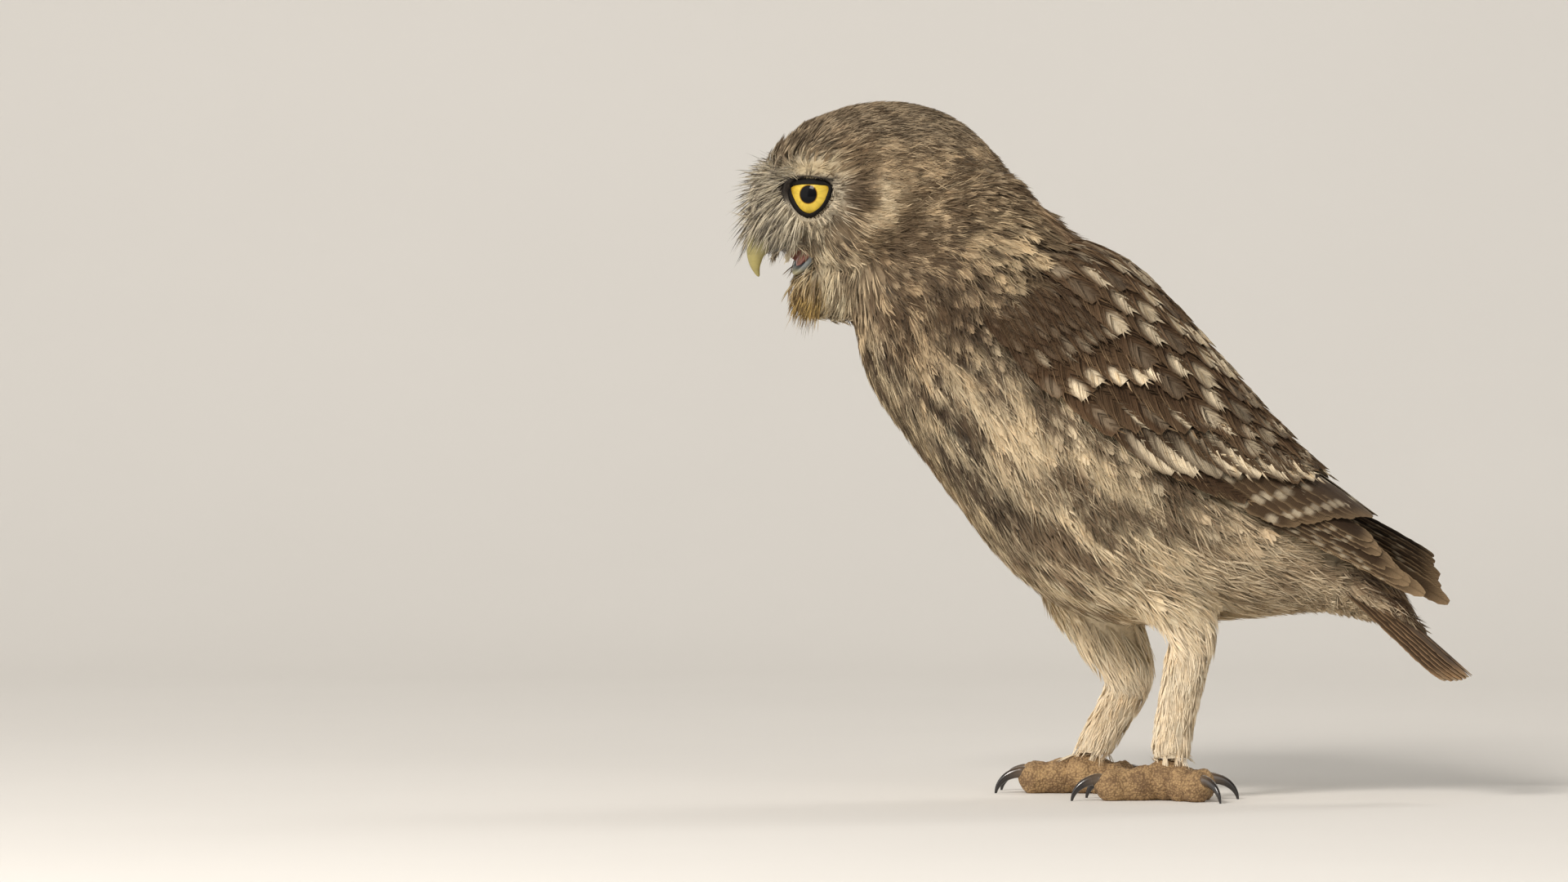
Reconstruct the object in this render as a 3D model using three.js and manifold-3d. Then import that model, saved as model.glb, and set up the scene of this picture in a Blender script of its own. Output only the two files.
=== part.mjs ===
// A little owl, life size, standing on a level floor and leaning forward with its bill open.
// Millimetres, +Z up. The owl faces -X and its left side faces -Y. The origin is the middle of
// the left sole, on the floor.
import * as THREE from "three";
import { mergeVertices } from "three/addons/utils/BufferGeometryUtils.js";
import Module from "manifold-3d";

const wasm = await Module();
wasm.setup();

// Driving sizes
const GAP = 0.3; // left between parts that touch
const STANCE = 15; // from the middle of the body to the middle of each foot
const HEAD_TURN = 30; // degrees that the head is turned to the owl's left
const HEAD_PLACE = [-80.5, 0, 164.4];
const EYE_RADIUS = 8.2;
const EYE_TURN = 50; // degrees from straight ahead to where each eye looks
const EYE_FRONT = [28.6, 17, 0.4]; // ahead, to the side and up from the middle of the head
const VANE = 0.6; // thickness of a feather's vane
const CLAW_ARC = 6.6; // radius of the curve of a claw

// Stations of the body from inside the head to the root of the tail: x and z of the middle, the
// lean of the section from level in degrees, half its depth and half its width.
const BODY = [
  { x: -86, z: 166, lean: 50, deep: 0, wide: 0 },
  { x: -78, z: 158, lean: 48, deep: 24, wide: 24 },
  { x: -69, z: 149, lean: 44, deep: 29.5, wide: 27 },
  { x: -55.8, z: 131, lean: 35, deep: 34.5, wide: 30.5 },
  { x: -41, z: 116, lean: 32, deep: 37.5, wide: 33.5 },
  { x: -26, z: 98.2, lean: 31, deep: 38.6, wide: 34.5 },
  { x: -11, z: 80, lean: 30, deep: 38.4, wide: 33 },
  { x: 5.5, z: 67, lean: 33, deep: 33.6, wide: 28.5 },
  { x: 26.5, z: 61.8, lean: 37, deep: 21.6, wide: 20 },
  { x: 43, z: 59, lean: 41, deep: 12.6, wide: 13 },
  { x: 57, z: 52.6, lean: 47, deep: 6.6, wide: 8 },
  { x: 66, z: 45.6, lean: 49, deep: 0, wide: 0 },
];

// The surface that the folded wings lie on, from the shoulders to the wing tips.
const MANTLE = [
  { x: -57, z: 133, lean: 35, deep: 35, wide: 31 },
  { x: -42, z: 117, lean: 32, deep: 37.4, wide: 33.6 },
  { x: -26, z: 99, lean: 31, deep: 38.6, wide: 34.6 },
  { x: -9, z: 82.4, lean: 31, deep: 37.6, wide: 33.2 },
  { x: 11, z: 70.6, lean: 36, deep: 31.6, wide: 28 },
  { x: 31, z: 65.6, lean: 42, deep: 22.6, wide: 20.4 },
  { x: 48, z: 61.4, lean: 48, deep: 15.4, wide: 15 },
  { x: 62, z: 56.2, lean: 52, deep: 10.6, wide: 11.4 },
  { x: 75, z: 50.2, lean: 55, deep: 7, wide: 9 },
];

// Planes that part the flesh: a point on each in x and z, and the lean of the plane.
const NAPE_CUT = { x: -67.3, z: 148.5, lean: 43 };
const SHOULDER_CUT = { x: -53.7, z: 127.9, lean: 33 };

const radians = THREE.MathUtils.degToRad;
const lerp = THREE.MathUtils.lerp;

// Turns a closed geometry into a solid that can be joined and cut.
function solidOf(geometry) {
  const bare = geometry.clone();
  bare.deleteAttribute("normal");
  bare.deleteAttribute("uv");
  const merged = mergeVertices(bare, 1e-4);
  const corners = new Uint32Array(merged.index.array);
  const whole = [];
  for (let i = 0; i < corners.length; i += 3) {
    const [a, b, c] = corners.slice(i, i + 3);
    if (a !== b && b !== c && c !== a) whole.push(a, b, c);
  }
  const made = (order) =>
    new wasm.Manifold(
      new wasm.Mesh({
        numProp: 3,
        vertProperties: merged.attributes.position.array,
        triVerts: new Uint32Array(order),
      }),
    );
  const solid = made(whole);
  return solid.volume() > 0 ? solid : made(whole.reverse());
}

function join(solids) {
  return solids.reduce((all, one) => all.add(one));
}

// The largest closed surface of a solid.
function largest(solid) {
  const size = (one) => {
    const { min, max } = one.boundingBox();
    return max.reduce((product, value, i) => product * (value - min[i]), 1);
  };
  return solid.decompose().sort((a, b) => size(b) - size(a))[0];
}

function geometryOf(solid) {
  const mesh = solid.getMesh();
  const geometry = new THREE.BufferGeometry();
  geometry.setAttribute("position", new THREE.BufferAttribute(mesh.vertProperties, 3));
  geometry.setIndex(new THREE.BufferAttribute(mesh.triVerts, 1));
  return geometry;
}

// A smooth value between the stations of a list, at share 0 to 1 along it.
function between(list, key, share) {
  const place = THREE.MathUtils.clamp(share, 0, 1) * (list.length - 1);
  const first = Math.min(Math.floor(place), list.length - 2);
  const t = place - first;
  const value = (i) => list[THREE.MathUtils.clamp(i, 0, list.length - 1)][key] ?? 0;
  const [a, b, c, d] = [-1, 0, 1, 2].map((step) => value(first + step));
  return b + 0.5 * t * (c - a + t * (2 * a - 5 * b + 4 * c - d + t * (3 * (b - c) + d - a)));
}

// A round body through stations. Squares of the sizes are blended, so that an end of size 0 is round.
class Loft {
  constructor(stations) {
    this.stations = stations.map((s) => ({
      ...s,
      deep2: s.deep ** 2,
      wide2: (s.wide ?? s.deep) ** 2,
    }));
  }
  section(share) {
    const at = (key) => between(this.stations, key, share);
    const lean = radians(at("lean"));
    return {
      middle: new THREE.Vector3(at("x"), at("y"), at("z")),
      up: new THREE.Vector3(Math.cos(lean), 0, Math.sin(lean)),
      deep: Math.sqrt(Math.max(at("deep2"), 0)),
      wide: Math.sqrt(Math.max(at("wide2"), 0)),
    };
  }
  // A point on the surface: angle 90 is the back, -90 the belly, 0 the left flank.
  point(share, angle, lift = 0) {
    const { middle, up, deep, wide } = this.section(share);
    const turn = radians(angle);
    return middle
      .addScaledVector(up, (deep + lift) * Math.sin(turn))
      .add(new THREE.Vector3(0, -(wide + lift) * Math.cos(turn), 0));
  }
  solid(around, along, lift = 0) {
    const geometry = new THREE.SphereGeometry(1, around, along);
    const { position, uv } = geometry.attributes;
    for (let i = 0; i < position.count; i++) {
      const share = 1 - uv.getY(i);
      const ends = share < 1e-6 || share > 1 - 1e-6;
      const point = this.point(share, ends ? 0 : 360 * uv.getX(i), ends ? 0 : lift);
      if (ends) {
        const { middle } = this.section(share);
        point.copy(middle);
        const inner = this.section(share < 0.5 ? 0.02 : 0.98).middle;
        point.addScaledVector(middle.clone().sub(inner).normalize(), lift);
      }
      position.setXYZ(i, point.x, point.y, point.z);
    }
    return solidOf(geometry);
  }
}

// A ball stretched to three half sizes, at a place.
function ball(place, sizes, around = 20, along = 14) {
  const geometry = new THREE.SphereGeometry(1, around, along);
  return solidOf(geometry.scale(...sizes).translate(...place));
}

// A thin plate. place(along 0..1, across -1..1, side 0 below or 1 above) gives each point, and both
// faces are split into the same triangles.
function plate(rows, columns, place) {
  const points = [];
  const faces = [];
  const id = (side, row, column) => (side * (rows + 1) + row) * (columns + 1) + column;
  const quad = (a, b, c, d) => faces.push(a, b, c, a, c, d);
  for (const side of [0, 1])
    for (let row = 0; row <= rows; row++)
      for (let column = 0; column <= columns; column++)
        points.push(...place(row / rows, (2 * column) / columns - 1, side).toArray());
  for (let row = 0; row < rows; row++)
    for (let column = 0; column < columns; column++) {
      const [a, b, c, d] = [
        [row, column],
        [row, column + 1],
        [row + 1, column + 1],
        [row + 1, column],
      ];
      quad(id(1, ...a), id(1, ...b), id(1, ...c), id(1, ...d));
      faces.push(id(0, ...a), id(0, ...c), id(0, ...b), id(0, ...a), id(0, ...d), id(0, ...c));
    }
  for (let row = 0; row < rows; row++) {
    quad(id(0, row, 0), id(1, row, 0), id(1, row + 1, 0), id(0, row + 1, 0));
    quad(id(1, row, columns), id(0, row, columns), id(0, row + 1, columns), id(1, row + 1, columns));
  }
  for (let column = 0; column < columns; column++) {
    quad(id(1, 0, column), id(0, 0, column), id(0, 0, column + 1), id(1, 0, column + 1));
    quad(id(0, rows, column), id(1, rows, column), id(1, rows, column + 1), id(0, rows, column + 1));
  }
  const geometry = new THREE.BufferGeometry();
  geometry.setAttribute("position", new THREE.Float32BufferAttribute(points, 3));
  geometry.setIndex(faces);
  return solidOf(geometry);
}

// How wide a feather is along its length, as a share of its greatest width.
function vaneWidth(along) {
  return Math.sqrt(Math.max(1 - Math.abs(2 * along - 1) ** 5, 0)) * lerp(0.75, 1, Math.min(2 * along, 1));
}

// Flesh of the body

const body = new Loft(BODY);
const mantle = new Loft(MANTLE);
const bodyClear = body.solid(24, 26, GAP);

function plane({ x, z, lean }) {
  const normal = [-Math.sin(radians(lean)), 0, Math.cos(radians(lean))];
  return { normal, offset: normal[0] * x + normal[2] * z };
}

// What lies on the head side of a cut, and what lies on the tail side, half a gap from it.
function ahead(solid, cut) {
  const { normal, offset } = plane(cut);
  return solid.trimByPlane(normal, offset + GAP / 2);
}

function behind(solid, cut) {
  const { normal, offset } = plane(cut);
  return solid.trimByPlane(
    normal.map((v) => -v),
    GAP / 2 - offset,
  );
}

// Head, in its own frame: x ahead, y to the left, z up from its middle

const headFrame = new THREE.Matrix4()
  .makeTranslation(...HEAD_PLACE)
  .multiply(new THREE.Matrix4().makeRotationZ(radians(180 + HEAD_TURN)));

function toHead(solid) {
  return solid.transform(headFrame.elements);
}

// A loft along the middle plane of the head, given as x and z in the head's frame.
function headLoft(stations, around, along, lift = 0) {
  return new Loft(stations).solid(around, along, lift);
}

const bump = (distance, reach) => Math.exp(-((distance / reach) ** 2));

const eyePlace = (side) => new THREE.Vector3(EYE_FRONT[0], side * EYE_FRONT[1], EYE_FRONT[2]);

function eyeAim(side) {
  const turn = radians(EYE_TURN);
  return new THREE.Vector3(Math.cos(turn), side * Math.sin(turn), 0.04).normalize();
}

const eyeMiddle = (side) => eyePlace(side).addScaledVector(eyeAim(side), -EYE_RADIUS + 0.4);

// The head's surface along a direction: an egg with a flat crown, brows over the eyes, a dished
// face round each eye with a raised rim behind it, and full lores over the bill.
function skullPoint(direction) {
  const { x, y, z } = direction;
  const sizes = [x > 0 ? 36 : 33, 29.5, z > 0 ? 26 : 25];
  const point = direction
    .clone()
    .multiplyScalar(1 / Math.hypot(x / sizes[0], y / sizes[1], z / sizes[2]));
  let lift = 0;
  for (const side of [1, -1]) {
    const eye = eyePlace(side);
    const away = point.distanceTo(eye);
    const behindEye = THREE.MathUtils.smoothstep(eye.x - point.x, -6, 10);
    const brow = new THREE.Vector3(eye.x - 1, eye.y - 1.5 * side, eye.z + 8.5);
    lift += -2.2 * bump(away, 9) + 1.5 * behindEye * bump(away - 22, 3.6);
    lift += 1.9 * bump(Math.hypot((point.x - brow.x) / 2.2, point.y - brow.y, point.z - brow.z), 4.6);
  }
  lift += 5 * bump(Math.hypot(point.x - 36, point.y / 1.3, point.z + 6), 9.5);
  lift -= 2.4 * bump(Math.hypot(point.x - 30, point.y, point.z - 20), 10);
  return point.addScaledVector(direction, lift);
}

function skull() {
  const geometry = new THREE.IcosahedronGeometry(1, 7);
  const { position } = geometry.attributes;
  for (let i = 0; i < position.count; i++) {
    const point = skullPoint(new THREE.Vector3().fromBufferAttribute(position, i).normalize());
    position.setXYZ(i, point.x, point.y, point.z);
  }
  return solidOf(geometry);
}

const UPPER_BILL = [
  { x: 19, z: -11, lean: 90, deep: 0, wide: 0 },
  { x: 23, z: -11.2, lean: 90, deep: 3.6, wide: 8.6 },
  { x: 29, z: -10.6, lean: 88, deep: 4.9, wide: 7.6 },
  { x: 34.4, z: -11.6, lean: 70, deep: 4.6, wide: 5.2 },
  { x: 37.8, z: -15.2, lean: 38, deep: 3.1, wide: 3.2 },
  { x: 38.2, z: -19.4, lean: 8, deep: 1.5, wide: 1.5 },
  { x: 37.2, z: -22.4, lean: -6, deep: 0, wide: 0 },
];

// The lower bill hangs almost straight down from the open gape.
const LOWER_BILL = [
  { x: 20.4, z: -11.4, lean: 28, deep: 0, wide: 0 },
  { x: 21.6, z: -13.2, lean: 22, deep: 2.6, wide: 7.6 },
  { x: 23.2, z: -16.2, lean: 16, deep: 2.7, wide: 6.4 },
  { x: 25, z: -19.2, lean: 16, deep: 2.2, wide: 4.2 },
  { x: 27, z: -21.9, lean: 24, deep: 0, wide: 0 },
];

// The hollow between its cutting edges, and the tongue that lies in it.
const TROUGH = [
  { x: 22, z: -12.8, lean: 18, deep: 0, wide: 0 },
  { x: 24.4, z: -14.8, lean: 18, deep: 2.2, wide: 5.8 },
  { x: 26.2, z: -18, lean: 18, deep: 1.9, wide: 3.6 },
  { x: 28, z: -21, lean: 20, deep: 0, wide: 0 },
];
const TONGUE = [
  { x: 21.8, z: -14.4, lean: 20, deep: 0, wide: 0 },
  { x: 23.4, z: -15.6, lean: 18, deep: 1.2, wide: 3.2 },
  { x: 24.8, z: -17.6, lean: 18, deep: 1, wide: 2.8 },
  { x: 26, z: -19.6, lean: 20, deep: 0, wide: 0 },
];

// What the open mouth leaves free: a wedge from the gape to between the two tips.
const MOUTH = [
  { x: 19, z: -12.6, lean: 70, deep: 0, wide: 0 },
  { x: 23, z: -13.6, lean: 70, deep: 1.2, wide: 7.6 },
  { x: 29, z: -17.5, lean: 50, deep: 4.5, wide: 7.6 },
  { x: 34, z: -22, lean: 45, deep: 7.5, wide: 7 },
  { x: 42, z: -29, lean: 45, deep: 0, wide: 0 },
];

// Outline of the opening between the lids, seen along the eye, inner corner towards +x.
function lidOpening() {
  const shape = new THREE.Shape();
  shape.moveTo(-5.7, 2.5);
  shape.quadraticCurveTo(0, 2.9, 6, 2.4);
  shape.quadraticCurveTo(4.6, -3.4, 0.2, -5.3);
  shape.quadraticCurveTo(-5, -4, -5.7, 2.5);
  const geometry = new THREE.ExtrudeGeometry(shape, {
    depth: 14,
    bevelEnabled: false,
    curveSegments: 4,
  });
  return geometry;
}

// Puts a thing made looking along +z, with +x towards the bill, in front of an eye.
function atEye(geometry, side) {
  const aim = eyeAim(side);
  const above = new THREE.Vector3(0, 0, 1).addScaledVector(aim, -aim.z).normalize();
  const toBill = new THREE.Vector3().crossVectors(above, aim).multiplyScalar(-side);
  const frame = new THREE.Matrix4().makeBasis(toBill, above, aim);
  frame.setPosition(eyeMiddle(side));
  return solidOf(geometry.applyMatrix4(frame));
}

function headParts() {
  const upperBill = headLoft(UPPER_BILL, 12, 12);
  const lowerBill = headLoft(LOWER_BILL, 12, 8);
  const clearOfUpper = headLoft(UPPER_BILL, 12, 12, GAP);
  let flesh = skull()
    .add(ball([12.5, 0, -22], [12.4, 12, 14], 14, 10))
    .add(ball([20.6, 0, -26.6], [8, 8.4, 7.8], 14, 10)) // the tuft of the chin
    .add(ball([0, 0, -12], [24, 22, 22], 14, 10));
  const eyes = {};
  for (const [name, side] of [
    ["left", 1],
    ["right", -1],
  ]) {
    const middle = eyeMiddle(side).toArray();
    const lids = ball(middle, Array(3).fill(EYE_RADIUS + 1.1), 14, 10);
    flesh = flesh
      .add(lids)
      .subtract(atEye(lidOpening(), side))
      .subtract(ball(middle, Array(3).fill(EYE_RADIUS + GAP), 16, 10));
    eyes[name] = ball(middle, Array(3).fill(EYE_RADIUS), 16, 10);
  }
  flesh = flesh
    .subtract(clearOfUpper)
    .subtract(headLoft(LOWER_BILL, 12, 8, GAP))
    .subtract(headLoft(TONGUE, 10, 6, GAP))
    .subtract(headLoft(MOUTH, 12, 8));
  const nostrils = [1, -1].map((side) => ball([33.4, 4.2 * side, -10.2], [1, 1.4, 1], 10, 6));
  return {
    flesh,
    eyes,
    upperBill: upperBill.subtract(join(nostrils)),
    lowerBill: lowerBill
      .subtract(headLoft(TROUGH, 10, 6))
      .subtract(headLoft(TONGUE, 10, 6, GAP))
      .subtract(clearOfUpper),
    tongue: headLoft(TONGUE, 10, 6).subtract(clearOfUpper),
  };
}

// Wings

// A feather lying on the mantle. root and tip are [share, angle]; width and lift are in mm; slope
// is how much its lower edge stands above its upper edge, per mm of width; dip sinks its root and
// stand raises its tip.
function wingFeather({ root, tip, width, lift, slope, dip, stand }, side) {
  return plate(3, 2, (along, across, top) => {
    const share = lerp(root[0], tip[0], along);
    const angle = lerp(root[1], tip[1], along);
    const { deep, wide } = mantle.section(share);
    const turn = radians(angle);
    const round = Math.hypot(deep * Math.cos(turn), wide * Math.sin(turn));
    const reach = 0.5 * width * vaneWidth(Math.min(0.1 + 0.9 * along, 0.985));
    const off = across * reach;
    const sunk = dip * (1 - along) ** 2;
    const height = lift - off * slope - 0.3 * Math.abs(across) - sunk + stand * along ** 2 + top * VANE;
    const point = mantle.point(share, angle + THREE.MathUtils.radToDeg(off / round), height);
    point.y *= side;
    return point;
  });
}

// A tier of feathers, evenly stepped from its first feather to its last.
function tier({ count, first, last, slope, stand = 0 }) {
  return Array.from({ length: count }, (_, i) => {
    const step = (a, b) => lerp(a, b, i / (count - 1));
    const steps = (key) => [step(first[key][0], last[key][0]), step(first[key][1], last[key][1])];
    return {
      root: steps("root"),
      tip: steps("tip"),
      width: step(first.width, last.width),
      lift: step(first.lift, last.lift),
      dip: step(first.dip, last.dip),
      slope,
      stand,
    };
  });
}

// The tiers of a folded wing, lowest first.
function wingTiers({ outer, inner, stand }) {
  return {
    primaries: tier({
      count: 6,
      first: { root: [0.36, 32], tip: outer, width: 8.5, lift: 0.7, dip: 0 },
      last: { root: [0.36, 50], tip: inner, width: 9.5, lift: 1.4, dip: 0 },
      slope: 0.34,
      stand,
    }),
    secondaries: tier({
      count: 5,
      first: { root: [0.3, 31], tip: [0.68, 32], width: 10, lift: 2.3, dip: 0.8 },
      last: { root: [0.26, 66], tip: [0.6, 70], width: 12, lift: 2.5, dip: 0.8 },
      slope: 0.2,
    }),
    greaterCoverts: tier({
      count: 5,
      first: { root: [0.19, 15], tip: [0.5, 31], width: 10.5, lift: 3.4, dip: 1.8 },
      last: { root: [0.16, 50], tip: [0.45, 58], width: 11, lift: 3.7, dip: 1.8 },
      slope: 0.2,
    }),
    medianCoverts: tier({
      count: 4,
      first: { root: [0.09, 13], tip: [0.32, 22], width: 10.5, lift: 4.5, dip: 2.6 },
      last: { root: [0.1, 46], tip: [0.31, 52], width: 10.5, lift: 4.8, dip: 2.6 },
      slope: 0.18,
    }),
    scapulars: tier({
      count: 3,
      first: { root: [0.08, 68], tip: [0.28, 63], width: 11.5, lift: 4.8, dip: 3.2 },
      last: { root: [0.28, 76], tip: [0.5, 73], width: 11.5, lift: 4.6, dip: 2.8 },
      slope: 0.05,
    }),
  };
}

// Where the tips of the outermost and the innermost primary lie, and how far they stand off. The
// right wing is folded more loosely, so that its tips fan out behind the left one.
const WINGS = {
  left: { side: 1, outer: [0.89, 12], inner: [0.77, 54], stand: 0 },
  right: { side: -1, outer: [0.955, 6], inner: [0.9, 52], stand: 4.5 },
};

// The fleshy arm of the wing: a lens on the mantle, under the coverts.
function wingArm(side) {
  const geometry = new THREE.SphereGeometry(1, 14, 8);
  const { position } = geometry.attributes;
  for (let i = 0; i < position.count; i++) {
    const [x, y, z] = [position.getX(i), position.getY(i), position.getZ(i)];
    const share = 0.2 + 0.21 * x;
    const point = mantle.point(share, 41 + 34 * y - 2 * x, z > 0 ? 4.6 * z : 3 * z);
    point.y *= side;
    position.setXYZ(i, point.x, point.y, point.z);
  }
  return solidOf(geometry);
}

function wing(form) {
  const feathers = Object.values(wingTiers(form)).flat();
  const vanes = feathers.map((feather) => wingFeather(feather, form.side));
  return largest(join([wingArm(form.side), ...vanes]).subtract(bodyClear));
}

// Tail

const TAIL_ROOT = { x: 37, z: 69 };
const TAIL_TIP = { x: 80.4, z: 32.6 };
const TAIL_PAIRS = 5;

// A tail feather: place 0 is the middle pair, side is -1 for the left. Each pair lies under the
// one further in, and each left feather under the right one of its pair.
function tailFeather(place, side) {
  const share = place / (TAIL_PAIRS - 1);
  const axis = new THREE.Vector3(TAIL_TIP.x - TAIL_ROOT.x, 0, TAIL_TIP.z - TAIL_ROOT.z);
  const length = axis.length() - 3.4 * share ** 2;
  axis.normalize();
  const above = new THREE.Vector3(-axis.z, 0, axis.x);
  const rise = -0.95 * place + (side > 0 ? 0.475 : 0);
  return plate(4, 2, (along, across, top) => {
    const spread = side * (lerp(1.2, 8.2, share) * lerp(0.5, 1.25, along) + 1.6);
    const reach = 5.2 * vaneWidth(Math.min(0.12 + 0.88 * along, 0.99));
    const sideways = spread + across * reach;
    const arch = -0.012 * sideways ** 2 + 1.6 * along * (1 - along);
    return new THREE.Vector3(TAIL_ROOT.x, sideways, TAIL_ROOT.z)
      .addScaledVector(axis, length * along)
      .addScaledVector(above, rise + arch + top * VANE);
  });
}

function tail() {
  const feathers = [];
  for (let place = 0; place < TAIL_PAIRS; place++)
    for (const side of [-1, 1]) feathers.push(tailFeather(place, side));
  const root = new Loft([
    { x: 40, z: 68, lean: 48, deep: 0, wide: 0 },
    { x: 46, z: 61, lean: 48, deep: 5.6, wide: 9.6 },
    { x: 55, z: 53.4, lean: 48, deep: 4.6, wide: 9.4 },
    { x: 64, z: 45.8, lean: 48, deep: 0, wide: 0 },
  ]).solid(16, 10);
  return join([root, ...feathers]).subtract(bodyClear);
}

// Legs and feet

const LEGS = {
  left: {
    side: -1,
    foot: { x: 0, z: 0 },
    thigh: [
      { x: -6, z: 72, lean: 10, deep: 0, wide: 0 },
      { x: -4, z: 66, lean: 10, deep: 14, wide: 10 },
      { x: 0, z: 57, lean: 8, deep: 12.4, wide: 10 },
      { x: 4.4, z: 48.6, lean: 6, deep: 9.4, wide: 8.6 },
      { x: 6.6, z: 42, lean: 0, deep: 7.2, wide: 7 },
      { x: 7, z: 36, lean: 0, deep: 0, wide: 0 },
    ],
    tarsus: [
      { x: 7, z: 48, lean: 0, deep: 0, wide: 0 },
      { x: 6.4, z: 43, lean: 0, deep: 7.1, wide: 6.8 },
      { x: 4.2, z: 32, lean: -8, deep: 7, wide: 6.6 },
      { x: 1.8, z: 20, lean: -8, deep: 6.5, wide: 6.2 },
      { x: 0.6, z: 10.6, lean: -6, deep: 6.2, wide: 6 },
      { x: 0, z: 4, lean: 0, deep: 0, wide: 0 },
    ],
    heel: { x: 6.6, z: 43, lean: 0 },
    ankle: { x: 0.6, z: 9.6, lean: 0 },
  },
  right: {
    side: 1,
    foot: { x: -28.5, z: 0 },
    thigh: [
      { x: -29, z: 72, lean: 10, deep: 0, wide: 0 },
      { x: -28, z: 65, lean: 12, deep: 14, wide: 10 },
      { x: -26, z: 54, lean: 14, deep: 12.8, wide: 10 },
      { x: -20.8, z: 42, lean: 16, deep: 10.4, wide: 8.6 },
      { x: -16, z: 31.6, lean: 10, deep: 8, wide: 7 },
      { x: -14, z: 24.6, lean: 0, deep: 0, wide: 0 },
    ],
    tarsus: [
      { x: -12, z: 38, lean: -30, deep: 0, wide: 0 },
      { x: -14.6, z: 32, lean: -30, deep: 6.9, wide: 6.6 },
      { x: -19.4, z: 23, lean: -28, deep: 6.7, wide: 6.4 },
      { x: -24.2, z: 14.6, lean: -26, deep: 6.3, wide: 6.2 },
      { x: -27.6, z: 7.4, lean: -20, deep: 5.8, wide: 5.8 },
      { x: -30, z: 3, lean: -16, deep: 0, wide: 0 },
    ],
    heel: { x: -15.2, z: 31.4, lean: -16 },
    ankle: { x: -26, z: 9.6, lean: 0 },
  },
};

// Toes: how far each points outwards from straight ahead, in degrees, and its length. The outer
// toe is turned back, as owls hold it.
const TOES = {
  inner: { turn: -14, length: 18 },
  middle: { turn: 22, length: 20.5 },
  outer: { turn: 138, length: 17 },
  hind: { turn: -158, length: 13.5 },
};
const TOE_RADIUS = 4;

function onFloor(solid) {
  return solid.trimByPlane([0, 0, 1], 0);
}

// The direction of a toe on the floor.
function toeAim(turn, side) {
  return new THREE.Vector3(-Math.cos(radians(turn)), side * Math.sin(radians(turn)), 0);
}

// Moves a solid made along +x from a foot's middle to a toe.
function toToe(solid, leg, turn) {
  const aim = toeAim(turn, leg.side);
  const frame = new THREE.Matrix4().makeRotationZ(Math.atan2(aim.y, aim.x));
  frame.setPosition(leg.foot.x, leg.side * STANCE, 0);
  return solid.transform(frame.elements);
}

function toe({ turn, length }, leg) {
  const stations = [
    { x: -2, z: 5.6, lean: 90, deep: 0, wide: 0 },
    { x: 3, z: 4.9, lean: 90, deep: 4.9, wide: TOE_RADIUS + 0.4 },
    { x: 0.5 * length, z: 4.1, lean: 90, deep: 4.4, wide: TOE_RADIUS },
    { x: 0.8 * length, z: 3.9, lean: 90, deep: 4.2, wide: TOE_RADIUS - 0.3 },
    { x: length, z: 4, lean: 90, deep: 0, wide: 0 },
  ];
  return toToe(new Loft(stations).solid(8, 6), leg, turn);
}

// A claw: a tapered horn that leaves the end of the toe and curves down to the floor.
function claw({ turn, length }, leg, lift = 0) {
  const stations = Array.from({ length: 6 }, (_, i) => {
    const share = i / 5;
    const bend = radians(lerp(-14, 88, share));
    return {
      x: length - 3.2 + CLAW_ARC * (Math.sin(bend) + 0.24) * 1.15,
      z: 5.6 - CLAW_ARC * (0.97 - Math.cos(bend)),
      lean: 90 - lerp(-14, 88, share),
      deep: i === 0 ? 0 : lerp(1.75, 0.25, share ** 1.3),
      wide: i === 0 ? 0 : lerp(1.4, 0.2, share ** 1.3),
    };
  });
  return toToe(new Loft(stations).solid(6, 6, lift), leg, turn);
}

function footParts(leg) {
  const pad = ball([leg.foot.x, leg.side * STANCE, 5.2], [7, 6.6, 5.8], 12, 8);
  const toes = Object.values(TOES).map((each) => toe(each, leg));
  const claws = Object.fromEntries(
    Object.entries(TOES).map(([name, each]) => [name, onFloor(claw(each, leg))]),
  );
  const room = join(Object.values(TOES).map((each) => claw(each, leg, GAP)));
  return { foot: onFloor(join([pad, ...toes])).subtract(room), claws };
}

function legParts(leg) {
  const set = (stations) => stations.map((s) => ({ ...s, y: leg.side * STANCE }));
  const limb = new Loft(set(leg.thigh)).solid(14, 12).add(new Loft(set(leg.tarsus)).solid(14, 12));
  const { foot, claws } = footParts(leg);
  const thigh = ahead(limb.subtract(bodyClear), leg.heel);
  const tarsus = ahead(behind(limb, leg.heel), leg.ankle);
  return { thigh: largest(thigh), tarsus: largest(tarsus), foot: behind(foot, leg.ankle), claws };
}

// The whole owl

const MATERIALS = {
  plumage: { color: 0x6b5a47, roughness: 0.9 },
  pale: { color: 0xcdbb98, roughness: 0.9 },
  eye: { color: 0xf2c21a, roughness: 0.1 },
  bill: { color: 0x8b8a55, roughness: 0.45 },
  mouth: { color: 0xb0675c, roughness: 0.4 },
  toe: { color: 0x9a7b4a, roughness: 0.85 },
  claw: { color: 0x2b2320, roughness: 0.3 },
};

const owl = new THREE.Group();

function show(name, solid, look) {
  const material = new THREE.MeshStandardMaterial({ ...MATERIALS[look], metalness: 0 });
  const mesh = new THREE.Mesh(geometryOf(solid), material);
  mesh.name = name;
  mesh.position.y = STANCE;
  owl.add(mesh);
}

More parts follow.
